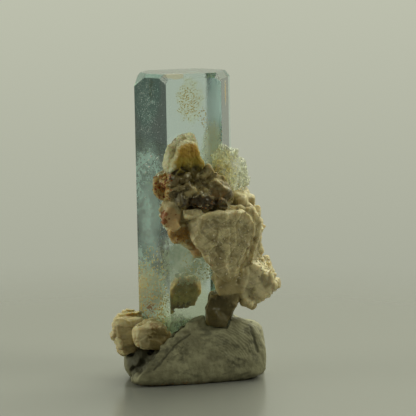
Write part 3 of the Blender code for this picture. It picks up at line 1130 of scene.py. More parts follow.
def carve(shape: bmesh.types.BMesh, reliefs: tuple[Relief, ...], swell: float,
          room: tuple[Vector, Vector]) -> None:
    """Works reliefs into an even skin, and leaves their crevices and tones on its points.

    Args:
        shape: The skin, in millimetres.
        reliefs: The reliefs, whose heights add up.
        swell: How far the whole skin moves out.
        room: The lowest and highest corners that it may reach.
    """
    shape.normal_update()
    crevices = shape.verts.layers.float.new(Mask.CREVICE.value)
    tones = shape.verts.layers.float.new(Mask.TONE.value)
    low, high = room
    for vert in shape.verts:
        found = [relief.relief(vert.co) for relief in reliefs]
        height = swell + sum(row[0] for row in found)
        moved = vert.co + vert.normal * height
        vert[crevices] = max((row[1] for row in found), key=abs)
        vert[tones] = found[0][2]
        vert.co = [min(max(moved[axis], low[axis]), high[axis]) for axis in range(3)]


@dataclass
class Skin:
    """The outside of a mesh, kept as triangles that grains and flakes can be scattered on."""

    corners: np.ndarray
    normals: np.ndarray
    areas: np.ndarray

    @classmethod
    def of(cls, mesh: bpy.types.Mesh) -> "Skin":
        """Reads a mesh's triangles.

        Args:
            mesh: A mesh in metres.

        Returns:
            Its skin in millimetres.
        """
        mesh.calc_loop_triangles()
        places = np.zeros(len(mesh.vertices) * 3)
        mesh.vertices.foreach_get("co", places)
        places = places.reshape(-1, 3) / MM
        index = np.zeros(len(mesh.loop_triangles) * 3, dtype=np.int64)
        mesh.loop_triangles.foreach_get("vertices", index)
        corners = places[index.reshape(-1, 3)]
        cross = np.cross(corners[:, 1] - corners[:, 0], corners[:, 2] - corners[:, 0])
        lengths = np.linalg.norm(cross, axis=1)
        normals = cross / np.maximum(lengths, 1e-12)[:, None]
        return cls(corners, normals, lengths / 2.0)

    def scattered(self, zone: Zone, count: int, rng: random.Random) -> list[tuple[Vector, Vector]]:
        """Picks places on the skin, thickest at a zone's centre.

        Args:
            zone: Where they may lie.
            count: How many.
            rng: The seeded source of chance.

        Returns:
            Each place and the skin's normal there.
        """
        middles = self.corners.mean(axis=1)
        reach = np.linalg.norm((middles - np.array(zone.centre)) / np.array(zone.radii), axis=1)
        size = np.sqrt(self.areas).max() / max(zone.radii)
        weights = self.areas * np.clip(1.0 + size - reach, 0.0, None)
        if weights.sum() <= 0.0:
            return []
        rows = rng.choices(range(len(weights)), weights=weights.tolist(), k=count * TRIES_EACH)
        places = []
        for row in rows:
            along, across = sorted((rng.random(), rng.random()))
            first, second, third = self.corners[row]
            spot = Vector(first * along + second * (across - along) + third * (1.0 - across))
            if zone.share(spot) > rng.random() * RIM_THINNING and len(places) < count:
                places.append((spot, Vector(self.normals[row])))
        return places


@dataclass(frozen=True)
class Sprinkle:
    """A number of grains of a size range, in one zone, set in by a share of their size."""

    zone: Zone
    count: int
    smallest: float
    largest: float
    sunk: float = 0.25


def fits(spot: Vector, margin: float) -> bool:
    """Tells whether a place is inside the whole object's box.

    Args:
        spot: The place.
        margin: How far inside it has to be.

    Returns:
        True where it is.
    """
    low, high = WHOLE_BOX
    return all(low[axis] + margin < spot[axis] < high[axis] - margin for axis in range(3))


def random_turn(rng: random.Random) -> Matrix:
    """Makes a random rotation.

    Args:
        rng: The seeded source of chance.

    Returns:
        A four by four matrix.
    """
    axis = Vector((rng.uniform(-1.0, 1.0), rng.uniform(-1.0, 1.0), rng.uniform(-1.0, 1.0)))
    return Matrix.Rotation(rng.uniform(0.0, math.tau), 4, axis.normalized())


def add_grain(shape: bmesh.types.BMesh, spot: Vector, radius: float, rng: random.Random) -> None:
    """Adds one angular grain.

    Args:
        shape: The mesh that it joins.
        spot: Its middle.
        radius: Its largest half width.
        rng: The seeded source of chance.
    """
    widths = Matrix.Diagonal(
        (radius, radius * rng.uniform(0.55, 0.95), radius * rng.uniform(0.4, 0.8), 1.0)
    )
    place = Matrix.Translation(spot) @ random_turn(rng) @ widths
    made = bmesh.ops.create_icosphere(shape, subdivisions=1, radius=1.0, matrix=place)
    for vert in made["verts"]:
        vert.co += (vert.co - spot) * rng.uniform(-0.28, 0.18)


@dataclass
class Grains:
    """Grains scattered on one host piece, joined in one mesh."""

    name: str
    host: str
    sprinkles: tuple[Sprinkle, ...]
    finish: GrainFinish
    slot: Slot
    seed: int

    def build(self) -> bpy.types.Object:
        """Makes the grains.

        Returns:
            The piece.
        """
        rng = random.Random(self.seed)
        skin = Skin.of(bpy.data.objects[self.host].data)
        shape = bmesh.new()
        for sprinkle in self.sprinkles:
            for spot, normal in skin.scattered(sprinkle.zone, sprinkle.count, rng):
                radius = rng.uniform(sprinkle.smallest, sprinkle.largest) / 2.0
                middle = spot + normal * radius * (0.5 - 2.0 * sprinkle.sunk)
                if fits(middle, radius):
                    add_grain(shape, middle, radius, rng)
        return finished(self.name, shape, self.finish.material(), False)


@dataclass
class Rock:
    """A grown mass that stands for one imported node, with its relief and finish."""

    name: str
    node: str
    reliefs: tuple[Relief, ...]
    finish: Mineral | PuttyFinish
    slot: Slot
    voxel: float = 0.12
    swell: float = 0.12
    soften: int = 0
    crisp: float = 180.0
    lowest: float = -1.0
    settle: int = 0

    def build(self) -> bpy.types.Object:
        """Makes the mass.

        Returns:
            The piece.
        """
        skin = remeshed(node_shape(self.node), self.voxel)
        relax(skin, self.soften)
        room = room_of(self.node, self.swell)
        room[0].z = max(room[0].z, self.lowest)
        carve(skin, self.reliefs, self.swell, room)
        relax(skin, self.settle)
        piece = finished(self.name, skin, self.finish.material(), True)
        piece.data.set_sharp_from_angle(angle=math.radians(self.crisp))
        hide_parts(self.node)
        return piece


@dataclass
class Prism:
    """The clear crystal, with crisp faces and finely worn edges."""

    name: str = "clear_crystal"
    node: str = "aquamarine_prism"
    edge: float = 0.09
    edge_steps: int = 2
    flat_angle: float = 1.2
    sharp_angle: float = 8.0
    chips: tuple[tuple[Triple, Triple, Triple], ...] = (
        ((-5.4, -4.47, 45.15), (-4.27, -5.49, 44.3), (-4.6, -4.7, 45.7)),
        ((2.7, -3.27, 45.1), (3.75, -2.89, 44.6), (3.4, -2.4, 45.7)),
    )

    def finish(self) -> ClearBeryl:
        """Gives the crystal's stains and frosted places.

        Returns:
            The finish.
        """
        orange = (0.78, 0.50, 0.08)
        yellow = (0.80, 0.66, 0.20)
        rust = (0.26, 0.11, 0.02)
        pale = (0.80, 0.84, 0.68)
        cream = (0.95, 0.95, 0.72)
        olive = (0.66, 0.56, 0.16)
        ochre = (0.74, 0.56, 0.14)
        amber = (0.62, 0.36, 0.05)
        warm = (1.0, 0.95, 0.66)
        aqua = (0.62, 0.92, 0.85)
        pale_aqua = (0.80, 0.96, 0.94)
        straw = (0.97, 0.94, 0.74)
        brown = (0.54, 0.52, 0.36)
        sage = (0.74, 0.76, 0.62)
        return ClearBeryl(
            "clear_beryl",
            stains=(
                Stain(Zone((-3.2, -4.2, 45.5), (2.2, 2.0, 0.8)), (0.85, 0.60, 0.18), 0.5, 0.8, 0.8),
                Stain(Zone((-7.2, -2.9, 41.0), (2.8, 3.6, 6.5)), pale, 0.35, 0.8, 0.4, 0.5, 0.3, 0.2),
                Stain(Zone((-0.9, -4.5, 41.6), (3.2, 2.0, 4.6)), yellow, 1.0, 0.8, 0.3, 0.52, 0.2, 0.26),
                Stain(Zone((-0.8, -4.5, 42.0), (2.6, 2.0, 3.6)), orange, 1.0, 0.5, 0.4, 0.56, 0.2, 0.2),
                Stain(Zone((-0.5, -4.5, 41.4), (1.9, 2.0, 2.6)), orange, 1.0, 0.3, 0.7, 0.56, 0.2, 0.26),
                Stain(Zone((1.2, -3.9, 39.4), (1.3, 1.5, 2.8)), orange, 1.0, 0.3, 0.5, 0.62, 0.2, 0.26),
                Stain(Zone((2.6, -3.4, 35.2), (2.0, 2.0, 5.0)), yellow, 0.9, 0.5, 0.6, 0.54, 0.3, 0.26),
                Stain(Zone((2.6, -3.4, 35.0), (2.2, 2.4, 5.4)), cream, 0.6, 0.3, 0.7, 0.52, 0.3),
                Stain(Zone((4.6, 0.2, 42.6), (1.4, 0.9, 3.6)), orange, 0.8, 0.5, 0.4, 0.6, 0.2),
                Stain(Zone((0.6, -3.9, 17.6), (4.6, 2.4, 3.6)), olive, 1.0, 0.5, 0.6, 0.48, 0.2, 0.3),
                Stain(Zone((-6.5, -3.4, 13.5), (4.4, 5.0, 9.5)), ochre, 1.0, 0.8, 0.5, 0.54, 0.14, 0.4),
                Stain(Zone((-6.5, -3.4, 10.6), (4.0, 4.0, 5.5)), amber, 1.0, 0.5, 0.6, 0.56, 0.14, 0.34),
                Stain(Zone((-6.9, -3.2, 10.7), (1.6, 2.0, 1.2)), rust, 1.0, 0.3, 0.3, 0.64, 0.1),
                Stain(Zone((-4.6, -5.0, 27.0), (1.8, 2.0, 6.0)), orange, 0.9, 0.5, 0.4, 0.58, 0.2, 0.3),
            ),
            washes=(
                Stain(Zone((-1.0, -4.6, 8.5), (7.0, 3.5, 8.5)), warm, 1.0, 3.0, 1.4, 0.3, 0.5),
                Stain(Zone((-7.4, -2.8, 45.0), (4.0, 5.0, 9.5)), aqua, 1.0, 3.0, 1.4, 0.3, 0.5),
                Stain(Zone((-7.4, -2.8, 28.0), (4.0, 5.0, 14.0)), pale_aqua, 1.0, 3.0, 1.4, 0.3, 0.5),
                Stain(Zone((-0.6, -4.5, 42.0), (3.2, 2.0, 4.8)), straw, 1.0, 0.8, 0.8, 0.5, 0.4),
                Stain(Zone((-1.0, -4.6, 18.0), (6.5, 3.5, 6.5)), brown, 1.0, 0.8, 0.8, 0.4, 0.5),
                Stain(Zone((-7.4, -3.0, 9.5), (6.5, 9.0, 13.0)), sage, 1.0, 0.9, 0.9, 0.34, 0.66),
                Stain(Zone((2.4, -3.4, 34.0), (2.2, 2.4, 5.5)), (1.0, 1.0, 0.84), 1.0, 0.8, 1.2, 0.4, 0.5),
            ),
            milky=(
                Zone((-1.6, -4.6, 18.5), (5.4, 4.0, 6.5)),
                Zone((-7.0, -2.8, 28.5), (5.0, 5.0, 9.5)),
                Zone((-7.0, -2.8, 15.0), (5.0, 5.0, 10.0)),
                Zone((-2.4, -5.0, 8.2), (5.0, 4.0, 3.0)),
                Zone((-2.0, 1.0, 5.6), (12.0, 11.0, 4.2)),
                Zone((2.4, -3.4, 33.0), (2.6, 3.0, 6.0)),
            ),
            hazes=(
                Zone((-7.0, -3.0, 24.0), (5.0, 6.0, 13.5)),
                Zone((-7.0, -3.0, 13.0), (4.6, 6.0, 9.0)),
                Zone((-2.0, -5.0, 18.5), (5.0, 3.0, 4.5)),
                Zone((2.8, -3.2, 40.5), (2.8, 2.2, 11.0)),
            ),
        )

    def chip(self, shape: bmesh.types.BMesh, corners: tuple[Triple, Triple, Triple]) -> None:
        """Breaks a small flat chip off the crystal.

        Args:
            shape: The crystal.
            corners: Three points of the broken face, seen from outside in turn.
        """
        first, second, third = (Vector(corner) for corner in corners)
        facing = (second - first).cross(third - first)
        everything = shape.verts[:] + shape.edges[:] + shape.faces[:]
        cut = bmesh.ops.bisect_plane(
            shape, geom=everything, plane_co=first, plane_no=facing, clear_outer=True
        )
        rim = [part for part in cut["geom_cut"] if isinstance(part, bmesh.types.BMEdge)]
        bmesh.ops.contextual_create(shape, geom=rim)

    def build(self) -> bpy.types.Object:
        """Makes the crystal.

        Returns:
            The piece.
        """
        shape = node_shape(self.node)
        bmesh.ops.dissolve_limit(
            shape, angle_limit=math.radians(self.flat_angle), verts=shape.verts, edges=shape.edges
        )
        for corners in self.chips:
            self.chip(shape, corners)
        least = math.radians(self.sharp_angle)
        sharp = [edge for edge in shape.edges if edge.calc_face_angle(0.0) > least]
        bmesh.ops.bevel(
            shape, geom=sharp, offset=self.edge, offset_type="OFFSET", segments=self.edge_steps,
            profile=BEVEL_PROFILE, affect="EDGES", material=-1, clamp_overlap=True,
        )
        piece = finished(self.name, shape, self.finish().material(), False)
        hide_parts(self.node)
        return piece


@dataclass(frozen=True)
class Veil:
    """Flakes of an inner fracture: where they are, how many, how big, how deep and how they lie."""

    zone: Zone
    count: int
    smallest: float
    largest: float
    deepest: float
    lie: Triple | None = None


@dataclass
class InnerFractures:
    """Bright flakes of healed and open fractures inside the clear crystal."""

    veils: tuple[Veil, ...]
    name: str = "inner_fractures"
    host: str = "clear_crystal"
    seed: int = 12
    thinness: float = 0.12

    def build(self) -> bpy.types.Object:
        """Makes the flakes.

        Returns:
            The piece.
        """
        rng = random.Random(self.seed)
        skin = Skin.of(bpy.data.objects[self.host].data)
        shape = bmesh.new()
        for veil in self.veils:
            for spot, normal in skin.scattered(veil.zone, veil.count, rng):
                radius = rng.uniform(veil.smallest, veil.largest) / 2.0
                middle = spot - normal * (radius + rng.uniform(0.1, veil.deepest))
                turn = random_turn(rng)
                if veil.lie is not None:
                    sway = Vector((rng.gauss(0.0, 0.2), rng.gauss(0.0, 0.2), rng.gauss(0.0, 0.2)))
                    turn = (Vector(veil.lie) + sway).to_track_quat("Z", "X").to_matrix().to_4x4()
                widths = Matrix.Diagonal((radius, radius * rng.uniform(0.4, 1.0), 1.0, 1.0))
                bmesh.ops.create_cone(
                    shape, cap_ends=True, segments=6, radius1=1.0, radius2=0.8,
                    depth=radius * self.thinness, matrix=Matrix.Translation(middle) @ turn @ widths,
                )
        finish = GrainFinish("fracture_flake", (0.95, 0.97, 0.93), (0.80, 0.86, 0.82), 0.3, 0.15)
        return finished(self.name, shape, finish.material(), False)


@dataclass
class BerylCrust:
    """The pale green crust on the crystal's right side: a lumpy mass under upright parallel crystals."""

    name: str = "pale_crust"
    columns_name: str = "pale_columns"
    node: str = "pale_beryl_crust"
    voxel: float = 0.1
    swell: float = 0.1
    crystals: int = 30
    reach: Triple = (6.0, 8.0, 8.0)
    narrowest: float = 0.35
    widest: float = 0.95
    shortest: float = 1.2
    longest: float = 2.6
    sunk: float = 0.25
    spread: float = 0.14
    bevel: float = 0.05
    faces_kept: float = 0.3
    crisp: float = 20.0
    seed: int = 31
    finish: ClearBeryl = field(default_factory=lambda: ClearBeryl(
        "pale_beryl",
        stains=(
            Stain(Zone((4.0, -3.0, 31.0), (4.0, 5.0, 6.0)), (0.86, 0.74, 0.22), 0.6, 0.3, 0.3, 0.56, 0.2),
            Stain(Zone((3.2, -3.6, 30.0), (1.6, 3.0, 4.0)), (0.74, 0.50, 0.10), 0.7, 0.5, 0.3, 0.58, 0.2),
        ),
        washes=(),
        milky=(Zone((5.0, -1.0, 31.0), (6.0, 8.0, 8.0)),),
        hazes=(),
        tint=(1.0, 1.0, 0.93), milk=(1.0, 1.0, 0.88), milk_body=0.5, absorbed=(0.95, 0.97, 0.75),
        density=8.0, ior=1.15, polish=0.22, striation=0.4, striation_depth=0.05,
    ))

    def build(self) -> list[bpy.types.Object]:
        """Makes the mass and its crystals.

        Returns:
            Both pieces.
        """
        material = self.finish.material()
        skin = remeshed(node_shape(self.node), self.voxel)
        reliefs = (
            Facets(1.0, 0.25, 0.10, 4.0, (1.0, 1.0, 2.0)),
            Facets(0.4, 0.2, 0.03, 6.0, (1.0, 1.0, 2.5)),
        )
        carve(skin, reliefs, self.swell, room_of(self.node, self.swell))
        skin = broken(skin, self.faces_kept)
        mass = finished(self.name, skin, material, True)
        mass.data.set_sharp_from_angle(angle=math.radians(self.crisp))
        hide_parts(self.node)
        return [mass, self.columns(mass, material)]

    def columns(self, mass: bpy.types.Object, material: bpy.types.Material) -> bpy.types.Object:
        """Sets short six-sided crystals on the mass, upright as the big crystal is.

        Args:
            mass: What they grow on.
            material: Their finish.

        Returns:
            The joined crystals.
        """
        rng = random.Random(self.seed)
        shape = bmesh.new()
        low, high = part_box(self.node)
        everywhere = Zone(tuple((low + high) / (2.0 * MM)), self.reach)
        for spot, normal in Skin.of(mass.data).scattered(everywhere, self.crystals, rng):
            width = rng.uniform(self.narrowest, self.widest)
            length = width * rng.uniform(self.shortest, self.longest)
            aim = Vector((rng.gauss(0.0, self.spread), rng.gauss(0.0, self.spread), 1.0))
            turn = aim.to_track_quat("Z", "Y").to_matrix().to_4x4()
            base = spot - normal * width * self.sunk
            if not fits(base, width):
                continue
            bmesh.ops.create_cone(
                shape, cap_ends=True, segments=6, radius1=width * 0.5, radius2=width * 0.46,
                depth=length, matrix=Matrix.Translation(base) @ turn,
            )
        bmesh.ops.bevel(
            shape, geom=shape.edges[:], offset=self.bevel, offset_type="OFFSET", segments=1,
            profile=BEVEL_PROFILE, affect="EDGES", material=-1, clamp_overlap=True,
        )
        return finished(self.columns_name, shape, material, False)


def feldspar(name: str, pale: Triple, body: Triple, deep: Triple, stains: tuple[Stain, ...]) -> Mineral:
    """Makes a feldspar finish.

    Args:
        name: The material's name.
        pale: Its lightest colour, also painted on ridges as a highlight.
        body: Its main colour.
        deep: Its darkest colour, for random dark tones and as painted shade in crevices.
        stains: What colours it locally.

    Returns:
        The finish.
    """
    return Mineral(
        name, pale, body, deep, stains, patch=1.6, roughness=0.46, shine=0.45,
        scatter=0.6, scatter_depth=1.0, grain=0.16, grain_depth=0.03, tone_spread=0.3,
        crevice=0.4, ridge=0.6,
    )


def matrix_rock() -> Rock:
    """Describes the large feldspar mass.

    Returns:
        The rock.
    """
    ochre = (0.46, 0.26, 0.08)
    rust = (0.34, 0.09, 0.03)
    brown = (0.20, 0.12, 0.045)
    salmon = (0.66, 0.44, 0.20)
    honey = (0.66, 0.40, 0.08)
    stains = (
        Stain(Zone((-3.3, -9.4, 25.0), (2.2, 3.5, 2.6)), salmon, 0.8, 0.8, 0.6),
        Stain(Zone((-4.6, -9.0, 25.0), (1.2, 3.0, 1.9)), rust, 0.85, 0.4, 0.5),
        Stain(Zone((-2.5, -7.6, 22.6), (3.2, 3.5, 1.9)), ochre, 0.8, 0.5, 0.45),
        Stain(Zone((-2.0, -7.6, 22.2), (3.6, 3.5, 2.2)), honey, 0.9, 0.4, 0.5, 0.5, 0.2, 0.4),
        Stain(Zone((0.4, -6.8, 20.3), (2.2, 3.5, 1.9)), ochre, 0.75, 0.5, 0.42),
        Stain(Zone((1.6, -9.0, 23.9), (2.4, 2.5, 1.5)), (0.33, 0.27, 0.17), 0.6, 0.6, 0.5),
        Stain(Zone((7.2, -5.5, 20.9), (1.4, 3.0, 2.0)), brown, 0.8, 0.6, 0.5),
        Stain(Zone((6.6, -3.0, 16.7), (0.9, 3.0, 3.0)), brown, 0.75, 0.6, 0.5),
        Stain(Zone((4.2, -5.0, 13.0), (4.2, 7.0, 6.5)), (0.40, 0.32, 0.15), 0.85, 1.4, 1.2, 0.4, 0.4),
        Stain(Zone((3.0, -5.5, 9.8), (4.4, 7.0, 5.0)), (0.10, 0.075, 0.016), 1.0, 0.8, 1.0, 0.4, 0.5),
        # Painted shadow in the crevices under the overhanging quartz cluster.
        Stain(Zone((2.4, -8.0, 26.9), (4.4, 3.5, 1.1)), (0.12, 0.06, 0.025), 0.85, 0.7, 0.6),
        Stain(Zone((1.6, -5.6, 18.0), (2.4, 2.5, 1.6)), (0.40, 0.34, 0.12), 0.6, 0.4, 0.4),
        Stain(Zone((9.4, -3.5, 14.6), (4.0, 6.0, 4.4)), (0.90, 0.80, 0.52), 0.4, 1.0, 0.6, 0.4, 0.3),
    )
    finish = feldspar("feldspar", (0.78, 0.68, 0.40), (0.50, 0.42, 0.225), (0.26, 0.18, 0.07), stains)
    reliefs = (
        Facets(2.8, 0.20, 0.16, 2.0, (1.0, 1.0, 1.4)),
        Facets(0.9, 0.18, 0.06, 5.0, (1.3, 1.0, 0.8), 0.16),
        Ledges((0.35, 0.3, -0.85), 0.8, 0.05, 8.0, Zone((9.5, -2.5, 15.0), (5.0, 6.0, 5.0))),
        Swells(0.7, 0.06, 3.0),
        Ledges((-0.52, -0.1, 0.85), 1.7, 0.13, 12.0, Zone((3.4, -8.0, 21.0), (6.0, 5.0, 7.5))),
        Ledges((0.80, -0.2, 0.56), 2.3, 0.12, 15.0, Zone((2.6, -8.0, 21.0), (6.0, 5.0, 7.5))),
        Crease(((6.2, 15.0), (6.7, 17.6), (8.0, 20.4), (8.6, 21.6)), 0.55, 0.35),
    )
    return Rock(
        "feldspar_mass", "albite_matrix", reliefs, finish, Slot.FELDSPAR,
        voxel=0.12, swell=0.16, soften=3, crisp=60.0, lowest=8.3, settle=1,
    )


def foot_rock() -> Rock:
    """Describes the layered feldspar blocks at the crystal's foot.

    Returns:
        The rock.
    """
    stains = (
        Stain(Zone((-10.2, -3.0, 9.6), (3.0, 5.0, 1.6)), (0.62, 0.47, 0.17), 0.7, 0.6, 0.5),
        Stain(Zone((-6.0, -6.0, 8.4), (1.8, 2.5, 1.0)), (0.36, 0.12, 0.04), 0.8, 0.4, 0.42),
        Stain(Zone((-8.6, -4.0, 5.6), (1.6, 3.0, 2.2)), (0.34, 0.22, 0.08), 0.6, 0.5, 0.45),
        # Painted shade on the right block, which lies in shadow.
        Stain(Zone((-5.3, -6.2, 6.6), (3.0, 4.5, 3.4)), (0.22, 0.16, 0.045), 0.9, 0.8, 0.7, 0.45, 0.4),
    )
    finish = feldspar("foot_feldspar", (0.80, 0.70, 0.43), (0.62, 0.51, 0.28), (0.32, 0.23, 0.09), stains)
    reliefs = (
        Facets(1.6, 0.22, 0.14, 7.0, (1.6, 1.0, 0.9), 0.04),
        Ledges((0.05, 0.12, 0.98), 0.45, 0.03, 3.0),
        Swells(0.5, 0.05, 3.0),
    )
    return Rock(
        "foot_blocks", "albite_foot", reliefs, finish, Slot.FELDSPAR,
        voxel=0.1, swell=0.14, soften=1, crisp=40.0,
    )


def back_rock() -> Rock:
    """Describes the brown lump behind the crystal, seen through it.

    Returns:
        The rock.
    """
    stains = (
        Stain(Zone((-3.4, 8.0, 11.4), (4.5, 5.0, 4.5)), (0.50, 0.30, 0.09), 0.5, 0.7, 0.3),
        Stain(Zone((-3.4, 8.0, 9.6), (3.5, 4.0, 1.6)), (0.22, 0.08, 0.02), 0.8, 0.5, 0.4),
    )
    finish = feldspar("back_feldspar", (0.92, 0.64, 0.28), (0.72, 0.45, 0.16), (0.34, 0.19, 0.06), stains)
    reliefs = (Facets(1.4, 0.22, 0.08, 9.0), Swells(0.5, 0.04, 4.0))
    return Rock("back_lump", "albite_back_knob", reliefs, finish, Slot.FELDSPAR, voxel=0.12, swell=0.1)


def smoky_rock() -> Rock:
    """Describes the dark quartz cluster across the front.

    Returns:
        The rock.
    """
    orange = (0.60, 0.26, 0.04)
    rust = (0.30, 0.05, 0.015)
    stains = (
        Stain(Zone((-5.0, -8.5, 29.5), (2.2, 4.0, 4.4)), (0.62, 0.45, 0.16), 0.9, 0.8, 0.6, 0.5, 0.3),
        Stain(Zone((-5.0, -8.5, 29.5), (2.4, 4.0, 4.2)), orange, 1.0, 0.6, 0.5, 0.5, 0.2, 0.5),
        Stain(Zone((-4.6, -8.5, 29.8), (2.2, 4.0, 3.6)), rust, 1.0, 0.5, 0.5, 0.6, 0.2, 0.6),
        # Painted shadow in the gap under the quartz cluster.
        Stain(Zone((0.6, -9.0, 27.4), (4.6, 4.0, 1.8)), (0.06, 0.036, 0.012), 0.9, 0.9, 0.7, 0.55, 0.3),
        Stain(Zone((-1.4, -9.0, 30.6), (2.6, 3.0, 1.8)), (0.16, 0.115, 0.035), 0.8, 0.9, 0.8, 0.5, 0.3),
        Stain(Zone((3.4, -7.8, 28.6), (2.2, 3.5, 1.6)), (0.36, 0.20, 0.06), 0.7, 0.5, 0.4),
    )
    finish = Mineral(
        "smoky_quartz", (0.58, 0.48, 0.24), (0.31, 0.235, 0.085), (0.08, 0.055, 0.016), stains,
        patch=1.1, roughness=0.36, shine=0.5, scatter=0.7, scatter_depth=0.8, clear=0.12,
        ior=1.55, grain=0.2, grain_depth=0.02, tone_spread=0.8, crevice=0.6, ridge=0.4,
    )
    reliefs = (
        Facets(1.9, 0.40, 0.26, 3.0, blend=0.10),
        Facets(0.8, 0.20, 0.06, 6.0, blend=0.16),
        Swells(0.7, 0.08, 7.0),
        Crease(((0.1, 28.0), (0.9, 27.6), (2.4, 26.9), (4.8, 26.6)), 1.0, 0.2, -6.0),
    )
    return Rock(
        "smoky_cluster", "smoky_quartz_cluster", reliefs, finish, Slot.SMOKY,
        voxel=0.09, swell=0.16, soften=8, crisp=60.0, settle=2,
    )


def stained_rock() -> Rock:
    """Describes the yellow-brown quartz knob with its pale rim.

    Returns:
        The rock.
    """
    amber = (0.46, 0.33, 0.045)
    rust = (0.40, 0.20, 0.03)
    stains = (
        Stain(Zone((-0.5, -8.6, 32.8), (3.9, 5.0, 4.7)), amber, 1.0, 0.8, 0.9, 0.50, 0.45),
        Stain(Zone((-0.9, -8.2, 34.9), (2.3, 3.0, 1.5)), (0.58, 0.35, 0.05), 0.95, 0.3, 0.6, 0.45, 0.3),
        Stain(Zone((-1.2, -8.2, 34.6), (2.6, 3.0, 2.4)), rust, 0.9, 0.5, 0.4, 0.5, 0.3, 0.4),
        Stain(Zone((-0.3, -8.6, 31.0), (3.6, 4.0, 3.2)), (0.13, 0.10, 0.02), 0.95, 0.8, 0.8, 0.5, 0.5),
    )
    finish = Mineral(
        "stained_quartz", (0.90, 0.88, 0.64), (0.80, 0.78, 0.52), (0.50, 0.42, 0.20), stains,
        patch=0.9, roughness=0.4, shine=0.5, scatter=0.7, scatter_depth=1.2, clear=0.2,
        ior=1.4, grain=0.14, grain_depth=0.05, tone_spread=0.2, crevice=0.3,
    )
    reliefs = (
        Facets(0.5, 0.22, 0.05, 2.0, blend=0.16),
        Facets(1.5, 0.20, 0.10, 5.0, blend=0.16),
        Swells(0.5, 0.10, 6.0),
    )
    return Rock(
        "stained_knob", "stained_quartz_knob", reliefs, finish, Slot.STAINED,
        voxel=0.09, swell=0.2, soften=40,
    )


def putty_lump() -> Rock:
    """Describes the thumbed lump of putty.

    Returns:
        The rock.
    """
    # Darker patches on the front, broken up by noise.
    dark_patches = (
        Zone((-2.5, -9.0, 5.4), (3.6, 3.5, 2.4)),
        Zone((2.4, -9.0, 6.4), (4.0, 4.5, 2.6)),
        Zone((6.0, -7.0, 3.0), (3.4, 5.0, 1.6)),
    )
    # Painted shade over the left lump, in the recess under the foot.
    painted_shades = (Zone((-7.8, -5.0, 3.8), (4.4, 7.5, 5.2)),)
    fold = ((-9.4, 1.5), (-7.2, 3.3), (-5.5, 5.7), (-3.7, 7.4), (-1.6, 9.1))
    lip = ((-8.7, 1.1), (-6.5, 3.0), (-4.8, 5.2), (-3.0, 6.9), (-1.0, 8.4))
    inner = ((-6.0, 2.6), (-4.3, 4.6), (-2.6, 6.2), (-0.8, 7.4))
    reliefs = (
        Swells(2.6, 0.16, 2.0),
        Ridges((1.4, 0.0, 0.5), 0.36, 0.06, Zone((6.6, -5.5, 6.6), (4.4, 6.0, 3.6))),
        Strokes((0.68, -0.1, 0.72), 0.8, 5.0, 0.12, 4.0, Zone((-3.6, -8.0, 5.5), (4.5, 6.0, 3.6))),
        Crease(fold, 0.6, 0.55),
        Crease(lip, 0.7, -0.25),
        Crease(inner, 0.3, 0.12),
        Crease(((8.2, 7.8), (8.9, 6.0), (9.3, 4.4)), 0.35, 0.16, 3.0),
        Swells(0.8, 0.06, 5.0),
    )
    finish = PuttyFinish(dark_patches=dark_patches, painted_shades=painted_shades)
    return Rock("putty_lump", "putty_base", reliefs, finish, Slot.PUTTY, voxel=0.126, swell=0.0)


def fracture_veils() -> tuple[Veil, ...]:
    """Lists the fractures that show inside the clear crystal.

    Returns:
        The veils.
    """
    return (
        Veil(Zone((-6.1, -3.6, 32.9), (1.0, 2.0, 2.2)), 70, 0.12, 0.5, 1.2),
        Veil(Zone((-7.0, -3.0, 31.6), (0.9, 2.0, 1.8)), 60, 0.12, 0.5, 1.0),
        Veil(Zone((-7.4, -2.7, 28.0), (1.9, 2.0, 0.9)), 90, 0.12, 0.6, 1.4, (0.1, 0.2, 1.0)),
        Veil(Zone((-6.0, -3.8, 36.7), (1.3, 2.0, 0.35)), 40, 0.08, 0.25, 0.3),
        Veil(Zone((-8.2, -1.9, 18.9), (0.7, 1.5, 0.5)), 24, 0.2, 0.6, 0.5),
        Veil(Zone((-6.0, -4.0, 25.0), (3.8, 3.5, 8.0)), 420, 0.06, 0.28, 3.0),
        Veil(Zone((-7.0, -3.0, 39.0), (3.2, 3.5, 8.0)), 380, 0.04, 0.13, 2.5),
        Veil(Zone((-1.0, -4.6, 17.0), (4.5, 3.0, 7.0)), 260, 0.05, 0.2, 2.5),
        Veil(Zone((-3.1, -5.1, 38.2), (0.4, 1.0, 0.4)), 3, 0.2, 0.35, 0.2),
    )


